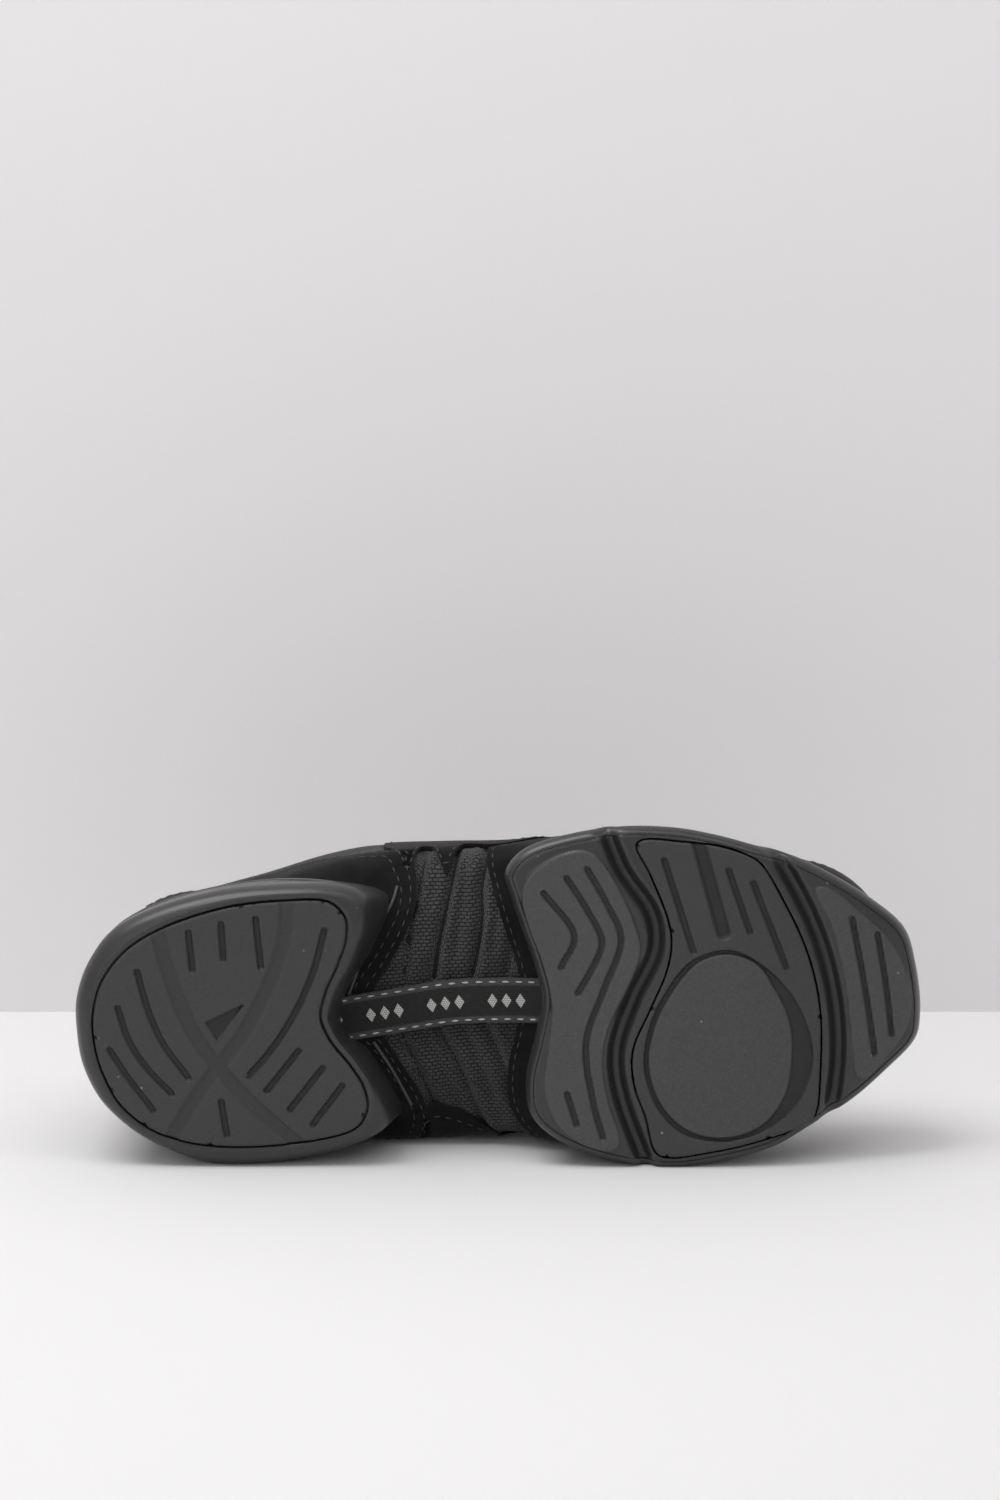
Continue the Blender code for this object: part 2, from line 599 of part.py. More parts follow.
def heel_blank(name, grow=0.0, home=None):
    rows, _ = heel_rows()
    return sole_unit(name, rows, HEEL_LEVELS, grow, home or cutters)


def fore_blank(name, grow=0.0, home=None):
    return sole_unit(name, fore_rows(), FORE_LEVELS, grow, home or cutters)


def cut_slots(piece, slots, size, width, depth, low):
    """Sink each named slot into a piece whose tread face is at a height."""
    for name, centre in slots.items():
        line = smooth(scaled(centre, size), 1, closed=False)
        cutter = plate("cut_" + name, ribbon(line, width), low - depth, low + depth, cutters)
        combine(piece, cutter, "DIFFERENCE")


def make_heel_tread():
    _, tread = heel_rows()
    piece = plate("heel_tread", tread, 0.0, TREAD_THICKNESS, parts)
    cut_slots(piece, HEEL_SLOTS, HEEL, SLOT_WIDTH, SLOT_DEPTH, 0.0)
    cut_slots(piece, HEEL_CROSS, HEEL, CROSS_WIDTH, CROSS_DEPTH, 0.0)
    triangle = plate("cut_triangle", scaled(HEEL_TRIANGLE, HEEL), -SLOT_DEPTH, SLOT_DEPTH, cutters)
    combine(piece, triangle, "DIFFERENCE")
    return piece


def make_heel_cup(form_outside):
    _, tread = heel_rows()
    piece = heel_blank("heel_cup", home=parts)
    pocket = plate("cut_heel_pocket", grown(tread, TREAD_LINE), -TREAD_THICKNESS,
                   TREAD_THICKNESS + GAP, cutters)
    combine(piece, pocket, "DIFFERENCE")
    combine(piece, form_outside, "DIFFERENCE")
    return piece


def make_fore_tread():
    piece = plate("forefoot_tread", scaled(FORE_TREAD, FORE), 0.0, TREAD_THICKNESS, parts)
    cut_slots(piece, FORE_TREAD_SLOTS, FORE, SLOT_WIDTH, SLOT_DEPTH, 0.0)
    channel = plate("cut_channel", ribbon(scaled(FORE_TREAD_CHANNEL, FORE), 2.2 * SLOT_WIDTH),
                    -SLOT_DEPTH, SLOT_DEPTH, cutters)
    combine(piece, channel, "DIFFERENCE")
    hollow = plate("cut_hollow", scaled(PIVOT_HOLLOW, FORE), -CRESCENT_DEPTH,
                   CRESCENT_DEPTH, cutters)
    disc = plate("pivot_disc", scaled(PIVOT_DISC, FORE), -2 * CRESCENT_DEPTH,
                 2 * CRESCENT_DEPTH, cutters)
    combine(hollow, disc, "DIFFERENCE")
    combine(piece, hollow, "DIFFERENCE")
    bend_toe(piece)
    return piece


def make_fore_sole(form_outside):
    piece = fore_blank("forefoot_sole", home=parts)
    root = SOLE_EDGE_RISE + FLEX_GROOVE_DEPTH
    for name, outline in (("rear_pad", REAR_PAD), ("toe_pad", TOE_PAD)):
        pad = plate(name, scaled(outline, FORE), 0.0, root, cutters)
        combine(piece, pad, "UNION")
    pocket = plate("cut_fore_pocket", grown(scaled(FORE_TREAD, FORE), TREAD_LINE),
                   -TREAD_THICKNESS, TREAD_THICKNESS + GAP, cutters)
    combine(piece, pocket, "DIFFERENCE")
    for name, centre in FLEX_GROOVES.items():
        line = smooth(scaled(centre, FORE), 2, closed=False)
        groove = plate("cut_" + name, ribbon(line, FLEX_GROOVE_WIDTH), -FLEX_GROOVE_DEPTH,
                       FLEX_GROOVE_DEPTH, cutters)
        combine(piece, groove, "DIFFERENCE")
    cut_slots(piece, REAR_PAD_SLOTS, FORE, SLOT_WIDTH, SLOT_DEPTH, 0.0)
    cut_slots(piece, TOE_PAD_SLOTS, FORE, SLOT_WIDTH, SLOT_DEPTH, 0.0)
    bend_toe(piece)
    combine(piece, form_outside, "DIFFERENCE")
    return piece


# Upper: one hollow shell, open at collar and throat and under the two sole units

COLLAR_LINE = (
    (-0.060, BACK_HEIGHT), (0.010, BACK_HEIGHT), (0.060, 0.96 * BACK_HEIGHT),
    (0.130, 1.08 * COLLAR_HEIGHT), (0.220, COLLAR_HEIGHT), (0.310, 1.06 * COLLAR_HEIGHT),
    (0.390, 1.26 * COLLAR_HEIGHT), (0.440, 1.02 * INSTEP_HEIGHT),
)


def collar_cutter():
    line = smooth([(x * SOLE_LENGTH, z) for x, z in COLLAR_LINE], 2, closed=False)
    above = 2 * INSTEP_HEIGHT
    outline = list(line) + [(line[-1][0], above), (line[0][0], above)]
    return plate("cut_collar", outline, -BALL_WIDTH, BALL_WIDTH, cutters, side_view=True)


def throat_cutter():
    half = THROAT_WIDTH / 2
    back = THROAT_TOP - 3 * half
    turns = [math.pi * k / 8 for k in range(1, 8)]
    outline = [(back, half * 1.3), (THROAT_TOE_END, half)]
    outline += [(THROAT_TOE_END + half * math.sin(a), half * math.cos(a)) for a in turns]
    outline += [(THROAT_TOE_END, -half), (back, -half * 1.3)]
    return plate("cut_throat", outline, 0.45 * INSTEP_HEIGHT, 2 * INSTEP_HEIGHT, cutters)


def floor_cutter(name, first, last):
    """Opening in the upper's bottom between two places, inside its lasting margin."""
    rows = [row for row in spine() if first <= row.at <= last]
    lateral = [(row.at, -row.lateral + LASTING_MARGIN) for row in rows]
    medial = [(row.at, row.medial - LASTING_MARGIN) for row in rows]
    back = first - LASTING_MARGIN
    front = last + LASTING_MARGIN
    tips = [(front, -0.6 * LASTING_MARGIN), (front, 0.6 * LASTING_MARGIN)]
    outline = [(back, -0.3 * LASTING_MARGIN), *lateral, *tips, *medial[::-1], (back, 0.3 * LASTING_MARGIN)]
    return plate(name, outline, -SEAT_HEIGHT, ARCH_HEIGHT + SEAT_HEIGHT, cutters)


def eyelet_places():
    """Plan places of the eyelet pairs, from the toe end of the throat up."""
    first = THROAT_TOE_END - EYELET_END_MARGIN
    last = THROAT_TOP + EYELET_TOP_MARGIN
    half = THROAT_WIDTH / 2 + EYELET_INSET
    return [(first + (last - first) * k / (EYELET_PAIRS - 1), half) for k in range(EYELET_PAIRS)]


def make_upper(outside, inside, collar, throat, floors, holes):
    piece = add_object("upper", outside.data.copy(), parts)
    for cutter in (inside, collar, throat, *floors, *holes):
        combine(piece, cutter, "DIFFERENCE")
    return piece


def eyelet_cutters():
    holes = []
    for pair, (x, half) in enumerate(eyelet_places()):
        for side, name in ((-1, "lateral"), (1, "medial")):
            bpy.ops.mesh.primitive_cylinder_add(vertices=6, radius=EYELET_HOLE / 2, depth=INSTEP_HEIGHT,
                                                location=(x, side * half, INSTEP_HEIGHT))
            hole = bpy.context.object
            hole.name = f"cut_eyelet_{name}_{pair}"
            hole.hide_render = True
            hole.display_type = "WIRE"
            for home in hole.users_collection:
                home.objects.unlink(hole)
            cutters.objects.link(hole)
            holes.append(hole)
    return holes


# Overlays of suede, each a layer between two larger forms, cut clear of the sole units

def layer(name, low, thickness, keep, remove):
    """A piece of the layer between two offsets of the form."""
    outer = form(low + thickness, "outer_" + name)
    piece = add_object(name, outer.data, parts)
    bpy.data.objects.remove(outer)
    for region in keep:
        combine(piece, region, "INTERSECT")
    combine(piece, form(low, "inner_" + name), "DIFFERENCE")
    for cutter in remove:
        combine(piece, cutter, "DIFFERENCE")
    return piece


COUNTER_LINE = (
    (-0.060, 0.62), (0.040, 0.64), (0.140, 0.56), (0.220, 0.50), (0.290, 0.50), (0.345, 0.44),
    (0.420, 0.40),
)
EYESTAY_LINE = (
    (0.372, 0.60), (0.390, 0.44), (0.425, 0.40), (0.465, 0.43), (0.505, 0.37), (0.545, 0.42),
    (0.590, 0.54), (0.650, 0.56), (0.705, 0.50), (0.745, 0.60),
)
EYESTAY_WING_LINE = ((0.396, 0.60), (0.404, 0.33), (0.428, 0.29), (0.460, 0.32), (0.486, 0.40), (0.545, 0.47))
GUARD_LINE = ((0.500, 0.36), (0.560, 0.38), (0.640, 0.34), (0.740, 0.31), (0.860, 0.33), (1.010, 0.36))


def side_region(name, line, limit, nearest=-BALL_WIDTH):
    """Side-view region from a line of shares of length and instep height to a height."""
    edge = [(x * SOLE_LENGTH, z * INSTEP_HEIGHT + toe_lift(x * SOLE_LENGTH)) for x, z in line]
    outline = edge + [(edge[-1][0], limit), (edge[0][0], limit)]
    return plate(name, outline, nearest, BALL_WIDTH, cutters, side_view=True)


def make_overlays(collar, throat, holes):
    base = UPPER_WALL + GAP
    strip = TAPE_WIDTH / 3
    heel_clear = heel_blank("cut_heel_clear", GAP)
    fore_clear = fore_blank("cut_fore_clear", GAP)
    bend_toe(fore_clear)
    rows, _ = heel_rows()
    heel_plan = plate("keep_heel_plan", grown(rows[:, 2:4], strip), -SEAT_HEIGHT, BACK_HEIGHT, cutters)
    counter = layer("heel_counter", base, OVERLAY_THICKNESS,
                    (side_region("keep_counter", COUNTER_LINE, -SEAT_HEIGHT), heel_plan), (heel_clear,))
    stay = side_region("keep_eyestay", EYESTAY_LINE, 2 * INSTEP_HEIGHT)
    wing = side_region("keep_eyestay_wing", EYESTAY_WING_LINE, 0.7 * INSTEP_HEIGHT, THROAT_WIDTH)
    combine(stay, wing, "UNION")
    settle(stay)
    eyestay = layer("eyestay", base, OVERLAY_THICKNESS, (stay,), (collar, throat, *holes))
    rows = fore_rows()
    fore_plan = plate("keep_fore_plan", grown(rows[:, 0:2], strip), -SEAT_HEIGHT, BACK_HEIGHT, cutters)
    guard = layer("toe_guard", base, OVERLAY_THICKNESS,
                  (side_region("keep_guard", GUARD_LINE, -SEAT_HEIGHT), fore_plan), (fore_clear,))
    return counter, eyestay, guard, heel_clear, fore_clear


TAPE_LINE = ((0.280, 0.0434), (0.383, 0.0157), (0.444, -0.0012), (0.505, -0.0036), (0.600, 0.0024))


def make_tape(heel_clear, fore_clear):
    """Webbing that bridges the arch from the heel unit to the forefoot unit."""
    centre = smooth([(x * SOLE_LENGTH, y * WAIST_WIDTH) for x, y in TAPE_LINE], 3, closed=False)
    band = plate("keep_tape", ribbon(centre, TAPE_WIDTH), 0.0, 2 * ARCH_HEIGHT, cutters)
    low = UPPER_WALL + GAP + OVERLAY_THICKNESS + GAP
    return layer("arch_tape", low, TAPE_THICKNESS, (band,), (heel_clear, fore_clear))


def make_tongue():
    half = TONGUE_WIDTH / 2
    top = THROAT_TOP - TONGUE_RISE
    toe = THROAT_TOE_END + EYELET_END_MARGIN
    outline = [(top, -0.8 * half), (top + TONGUE_CORNER, -half), (toe, -0.8 * half),
               (toe + TONGUE_CORNER, 0.0), (toe, 0.8 * half), (top + TONGUE_CORNER, half),
               (top, 0.8 * half), (top - TONGUE_CORNER / 2, 0.0)]
    region = plate("keep_tongue", outline, 0.42 * INSTEP_HEIGHT, 2 * INSTEP_HEIGHT, cutters)
    return layer("tongue", -GAP - TONGUE_THICKNESS, TONGUE_THICKNESS, (region,), ())


INSOLE_STEPS = 11


def make_insole():
    line = [(row.at, row.bottom) for row in spine()]
    line = [(line[0][0] - HEEL_REACH, line[0][1]), *line, (line[-1][0] + TOE_REACH, line[-1][1])]
    places = np.linspace(line[0][0], line[-1][0], INSOLE_STEPS)
    beds = np.interp(places, [x for x, _ in line], [z for _, z in line])
    edge = [(x, z + INSOLE_THICKNESS + toe_lift(x)) for x, z in zip(places, beds)]
    outline = edge + [(edge[-1][0], -SEAT_HEIGHT), (edge[0][0], -SEAT_HEIGHT)]
    region = plate("keep_insole", outline, -BALL_WIDTH, BALL_WIDTH, cutters, side_view=True)
    body = form(-GAP, "insole_body")
    piece = add_object("insole", body.data, parts)
    bpy.data.objects.remove(body)
    combine(piece, region, "INTERSECT")
    return piece


def make_laces():
    """Crossings between the eyelet pairs and a bar at the lowest, joined into one cord."""
    lift = UPPER_WALL + OVERLAY_THICKNESS + 2 * GAP + LACE_THICKNESS / 2 + GAP
    places = eyelet_places()
    runs = [((places[0][0], -places[0][1]), (places[0][0], places[0][1]))]
    for (x0, half0), (x1, half1) in zip(places, places[1:]):
        runs.append(((x0, -half0), (x1, half1)))
        runs.append(((x0, half0), (x1, -half1)))
    piece = None
    for k, (start, end) in enumerate(runs):
        curve = bpy.data.curves.new(f"lace_run_{k}", "CURVE")
        curve.dimensions = "3D"
        curve.bevel_depth = LACE_THICKNESS / 2
        curve.bevel_resolution = 1
        curve.use_fill_caps = True
        spline = curve.splines.new("POLY")
        over = 0.05 + 0.03 * (k % 3)
        shares = (-over, 0.3, 0.7, 1 + over)
        spline.points.add(len(shares) - 1)
        for point, share in zip(spline.points, shares):
            x = start[0] + (end[0] - start[0]) * share
            y = start[1] + (end[1] - start[1]) * share
            point.co = (*over_top(x, y, lift + 0.15 * LACE_THICKNESS * (k % 3)), 1.0)
        drawn = add_object(f"lace_run_{k}", curve, cutters)
        bpy.context.view_layer.update()
        mesh = bpy.data.meshes.new_from_object(drawn.evaluated_get(bpy.context.evaluated_depsgraph_get()))
        bpy.data.objects.remove(drawn)
        build = bmesh.new()
        build.from_mesh(mesh)
        bpy.data.meshes.remove(mesh)
        run = add_object("laces" if piece is None else f"lace_run_{k}", mesh_from(build, "laces"),
                         parts if piece is None else cutters)
        if piece is None:
            piece = run
        else:
            combine(piece, run, "UNION")
    return piece


# Laying the shoe on its side

def triangles_of(piece):
    mesh = bpy.data.meshes.new_from_object(piece.evaluated_get(bpy.context.evaluated_depsgraph_get()))
    build = bmesh.new()
    build.from_mesh(mesh)
    bpy.data.meshes.remove(mesh)
    bmesh.ops.triangulate(build, faces=build.faces)
    faces = [[vertex.co.copy() for vertex in face.verts] for face in build.faces]
    build.free()
    return faces


def weight_centre(solids):
    """Centre of mass of the shoe from its pieces' triangles and densities."""
    total = 0.0
    moment = Vector((0.0, 0.0, 0.0))
    for faces, density in solids:
        for a, b, c in faces:
            volume = a.dot(b.cross(c)) / 6
            total += density * volume
            moment += density * volume * (a + b + c) / 4
    return moment / total


def floor_face(points, centre):
    """The face of the shoe's hull, on its medial side, that its weight falls inside."""
    hull = bmesh.new()
    for place in points:
        hull.verts.new(place)
    made = bmesh.ops.convex_hull(hull, input=hull.verts)
    best = None
    for face in [item for item in made["geom"] if isinstance(item, bmesh.types.BMFace)]:
        corners = [vertex.co.copy() for vertex in face.verts]
        normal = (corners[1] - corners[0]).cross(corners[2] - corners[0]).normalized()
        if normal.dot(corners[0] - centre) < 0:
            normal = -normal
            corners.reverse()
        inside = all((after - before).cross(centre - before).dot(normal) > 0
                     for before, after in zip(corners, corners[1:] + corners[:1]))
        if inside and (best is None or normal.y > best[0].y):
            best = (normal, corners[0])
    hull.free()
    return best


def lay_on_side(pieces):
    """Empty that holds the pieces, turned so that the medial side rests on the ground."""
    bpy.context.view_layer.update()
    solids = [(triangles_of(piece), DENSITY[kind]) for piece, kind in pieces]
    points = {tuple(corner) for faces, _ in solids for face in faces for corner in face}
    normal, _ = floor_face(points, weight_centre(solids))
    up = -normal
    sole_down = Vector((0.0, 0.0, -1.0))
    ahead = up.cross(-sole_down).normalized()
    if ahead.x < 0:
        ahead = -ahead
    aside = up.cross(ahead)
    turn = Matrix((ahead, aside, up))
    spread = np.array([turn @ Vector(place) for place in points])
    low = spread.min(axis=0)
    high = spread.max(axis=0)
    shift = Vector((-(low[0] + high[0]) / 2, -(low[1] + high[1]) / 2, -low[2]))
    holder = bpy.data.objects.new("shoe_frame", None)
    parts.objects.link(holder)
    holder.matrix_world = Matrix.Translation(shift) @ turn.to_4x4()
    for piece in list(parts.objects) + list(cutters.objects):
        if piece is not holder:
            piece.parent = holder
    return holder


def main():
    outside = form(UPPER_WALL, "form_outside")
    inside = form(0.0, "form_inside")
    clear = form(UPPER_WALL + GAP, "form_clear")
    collar = collar_cutter()
    throat = throat_cutter()
    floors = (floor_cutter("cut_seat", STATIONS[0].at, STATIONS[1].at + SEAT_OPENING_REACH),
              floor_cutter("cut_ball", STATIONS[6].at, STATIONS[9].at))
    holes = eyelet_cutters()

    rubber = material("outsole_rubber", (0.045, 0.045, 0.048), 0.62)
    wall_rubber = material("side_rubber", (0.030, 0.030, 0.032), 0.42)
    knit = material("upper_mesh", (0.012, 0.012, 0.013), 0.85)
    suede = material("suede", (0.010, 0.010, 0.011), 0.92)
    webbing = material("webbing", (0.020, 0.020, 0.022), 0.80)
    cord = material("lace_cord", (0.014, 0.014, 0.015), 0.85)
    foam = material("insole_foam", (0.020, 0.020, 0.022), 0.90)

    counter, eyestay, guard, heel_clear, fore_clear = make_overlays(collar, throat, holes)
    pieces = (
        (make_upper(outside, inside, collar, throat, floors, holes), "mesh", knit),
        (make_heel_cup(clear), "rubber", wall_rubber),
        (make_heel_tread(), "rubber", rubber),
        (make_fore_sole(clear), "rubber", wall_rubber),
        (make_fore_tread(), "rubber", rubber),
        (make_tongue(), "foam", knit),
        (make_insole(), "foam", foam),
        (counter, "suede", suede),
        (eyestay, "suede", suede),
        (guard, "suede", suede),
        (make_tape(heel_clear, fore_clear), "mesh", webbing),
        (make_laces(), "cord", cord),
    )
    for piece, _, surface in pieces:
        piece.data.materials.clear()
        piece.data.materials.append(surface)
    lay_on_side([(piece, kind) for piece, kind, _ in pieces])


for item in list(bpy.data.objects):
    bpy.data.objects.remove(item)
parts = collection("dance_sneaker")
cutters = collection("cutters")
main()
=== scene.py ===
import json
import math
from collections import namedtuple

import bmesh
import bpy
import numpy as np
from mathutils import Matrix, Vector
from mathutils.bvhtree import BVHTree


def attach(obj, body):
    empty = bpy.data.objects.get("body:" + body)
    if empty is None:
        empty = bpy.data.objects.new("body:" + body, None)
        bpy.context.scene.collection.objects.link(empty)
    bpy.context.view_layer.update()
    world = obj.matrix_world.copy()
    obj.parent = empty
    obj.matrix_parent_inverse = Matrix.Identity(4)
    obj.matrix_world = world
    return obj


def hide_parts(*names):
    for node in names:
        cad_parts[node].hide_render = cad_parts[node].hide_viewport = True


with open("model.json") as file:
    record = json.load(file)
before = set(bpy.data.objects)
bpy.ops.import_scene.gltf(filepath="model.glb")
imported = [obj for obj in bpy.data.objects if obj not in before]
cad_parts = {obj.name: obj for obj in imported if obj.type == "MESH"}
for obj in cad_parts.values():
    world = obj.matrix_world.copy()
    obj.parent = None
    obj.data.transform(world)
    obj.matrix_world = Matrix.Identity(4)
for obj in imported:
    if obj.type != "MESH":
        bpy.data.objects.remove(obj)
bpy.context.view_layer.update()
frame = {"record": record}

MM = 0.001

# How the shoe lies: it is drawn in its own frame, X from heel to toe, Y to the medial side
# and Z up from the treads, and laid on its side here. Two places on the treads, which the
# record also states where they lie, give the turn and the shift between the two frames.

HEEL_PLACE = Vector((50.5, -25.2, 0.0)) * MM
PAD_PLACE = Vector((145.5, 4.1, 0.0)) * MM

mounts = {mount["name"]: mount for mount in frame["record"]["mounts"]}
heel_lies = Vector(mounts["heel_tread_face"]["pos_m"])
pad_lies = Vector(mounts["forefoot_pad_face"]["pos_m"])
shoe_up = -Vector(mounts["heel_tread_face"]["axis"]).normalized()
between = pad_lies - heel_lies
between = (between - between.dot(shoe_up) * shoe_up).normalized()
across = shoe_up.cross(between)
skew = math.atan2((PAD_PLACE - HEEL_PLACE).y, (PAD_PLACE - HEEL_PLACE).x)
shoe_ahead = math.cos(skew) * between - math.sin(skew) * across
shoe_aside = math.sin(skew) * between + math.cos(skew) * across
turn = Matrix((shoe_ahead, shoe_aside, shoe_up)).transposed()
lie = Matrix.Translation(heel_lies - turn @ HEEL_PLACE) @ turn.to_4x4()


# The camera looks at the treads from the photo's angle, a little from above, with a long lens
# on an upright frame.

CAMERA_AIM = Vector((126.0, -4.8, 0.0)) * MM
CAMERA_DISTANCE = 1.2327
CAMERA_RISE = math.radians(11.0)
CAMERA_PITCH = math.radians(7.635)


def placed(name, data):
    """A new object in the scene."""
    piece = bpy.data.objects.new(name, data)
    bpy.context.scene.collection.objects.link(piece)
    return piece


face_out = -shoe_up
view_up = face_out.cross(Vector((1.0, 0.0, 0.0))).normalized()
if view_up.z < 0:
    view_up = -view_up
camera_data = bpy.data.cameras.new("camera")
camera_data.lens = 100.0
camera_data.sensor_fit = "AUTO"
camera_data.sensor_width = 36.0
camera_data.clip_start = 0.05
camera = placed("camera", camera_data)
ahead = -(math.cos(CAMERA_PITCH) * face_out + math.sin(CAMERA_PITCH) * view_up)
frame_up = math.cos(CAMERA_PITCH) * view_up - math.sin(CAMERA_PITCH) * face_out
sight = math.cos(CAMERA_RISE) * face_out + math.sin(CAMERA_RISE) * view_up
stand = Matrix((ahead.cross(frame_up), frame_up, -ahead)).transposed().to_4x4()
camera.matrix_world = Matrix.Translation(lie @ CAMERA_AIM + CAMERA_DISTANCE * sight) @ stand
bpy.context.scene.camera = camera


# Floor and backdrop are two sheets of matt card, as in a product photo: a white one on the
# floor and a pale grey one upright behind the shoe. Large soft lights stand above and in front.

STAGE_BACK = 0.150
STAGE_SIDE = 2.5
STAGE_TOP = 2.2
STAGE_FRONT = -2.4


def linear(code):
    """A web colour as linear light."""
    shares = [int(code[k:k + 2], 16) / 255 for k in (1, 3, 5)]
    return tuple(c / 12.92 if c <= 0.04045 else ((c + 0.055) / 1.055) ** 2.4 for c in shares) + (1.0,)


def finish_of(name, values):
    """A new material with its node tree and its shader, whose constants are set."""
    made = bpy.data.materials.new(name)
    made.use_nodes = True
    shader = made.node_tree.nodes["Principled BSDF"]
    for label, value in values.items():
        shader.inputs[label].default_value = value
    return made, made.node_tree, shader


def add(tree, kind, inputs=None, **settings):
    """A shader or geometry node with its settings, and its inputs set or linked: a node given as
    a value is linked by its first output."""
    node = tree.nodes.new(kind if "Node" in kind else "ShaderNode" + kind)
    for name, value in settings.items():
        setattr(node, name, value)
    for key, value in (inputs or {}).items():
        if isinstance(value, bpy.types.Node):
            value = value.outputs[0]
        if isinstance(value, bpy.types.NodeSocket):
            tree.links.new(value, node.inputs[key])
        else:
            node.inputs[key].default_value = value
    return node


def maths(tree, operation, *values):
    """The result of an operation on numbers and linked values."""
    return add(tree, "Math", dict(enumerate(values)), operation=operation).outputs[0]


def bumped(tree, shader, height, distance, strength=1.0, **settings):
    """Give a shader fine relief from a value."""
    bump = add(tree, "Bump", {"Strength": strength, "Distance": distance, "Height": height}, **settings)
    tree.links.new(bump.outputs["Normal"], shader.inputs["Normal"])


def soft_light(name, energy, size, place, aim):
    """A rectangular light that is turned to its aim."""
    light = bpy.data.lights.new(name, "AREA")
    light.energy = energy
    light.shape = "RECTANGLE"
    light.size, light.size_y = size
    lamp = placed(name, light)
    lamp.location = place
    lamp.rotation_euler = (Vector(aim) - Vector(place)).to_track_quat("-Z", "Y").to_euler()


def stage_card(name, low, high, colour):
    """A large card with the fine tooth of matt paper, clear when it is looked at from its back."""
    card = bpy.data.meshes.new(name)
    card.from_pydata([(-STAGE_SIDE, *low), (STAGE_SIDE, *low), (STAGE_SIDE, *high), (-STAGE_SIDE, *high)],
                     [], [(0, 1, 2, 3)])
    paper, tree, shader = finish_of(name, {"Base Color": linear(colour), "Roughness": 0.9})
    grain = add(tree, "TexNoise", {"Scale": 900.0, "Detail": 2.0})
    bumped(tree, shader, grain.outputs["Fac"], 0.1 * MM, strength=0.05)
    facing = add(tree, "NewGeometry")
    tree.links.new(maths(tree, "SUBTRACT", 1.0, facing.outputs["Backfacing"]), shader.inputs["Alpha"])
    card.materials.append(paper)
    placed(name, card)


stage_card("matt_floor_card", (STAGE_FRONT, 0.0), (-STAGE_FRONT, 0.0), "#e2e1e1")
stage_card("matt_back_card", (STAGE_BACK, -0.01), (STAGE_BACK, STAGE_TOP), "#e3e1e2")
soft_light("top_box", 15.0, (1.2, 0.9), (-0.55, 0.0, 1.4), (0.0, 0.0, 0.0))
soft_light("front_box", 3.3, (1.2, 0.9), (-0.6, -1.6, 0.8), (0.0, 0.0, 0.05))
soft_light("back_box", 3.6, (1.8, 0.3), (0.0, -0.40, 0.95), (0.0, 0.20, 0.40))
world = bpy.data.worlds.new("studio")
world.use_nodes = True
world.node_tree.nodes["Background"].inputs["Color"].default_value = linear("#ffffff")
world.node_tree.nodes["Background"].inputs["Strength"].default_value = 0.47
bpy.context.scene.world = world
bpy.context.scene.view_settings.view_transform = "Standard"


# Heel unit: a satin rubber cup moulded in one piece, which wraps the back of the upper and
# reaches forward in two wings. A groove runs round its side, and its bottom holds a pocket
# for the tread plate.

SOLE_LENGTH = 250.0 * MM
HEEL_WIDTH = 84.0 * MM
HEEL_RIM_HEIGHT = 23.0 * MM
SOLE_EDGE_RISE = 0.8 * MM
TREAD_THICKNESS = 3.5 * MM
TREAD_LINE = 0.6 * MM
TREAD_BORDER = 2.2 * MM
HEEL_GROOVE_DEPTH = 1.6 * MM
LIP_ROUND = 0.5 * MM
# A rim's rounded top: how far in from the wall, and how far above the rim's line
RIM_ROUND = ((0.15 * MM, 0.22 * MM), (0.5 * MM, 0.36 * MM), (1.2 * MM, 0.4 * MM), (3.2 * MM, 0.3 * MM))
SHARP_EDGE = math.radians(48)
HEEL = np.array((SOLE_LENGTH, HEEL_WIDTH))
TOE_SPRING = 15.0 * MM
TOE_SPRING_START = 0.76 * SOLE_LENGTH

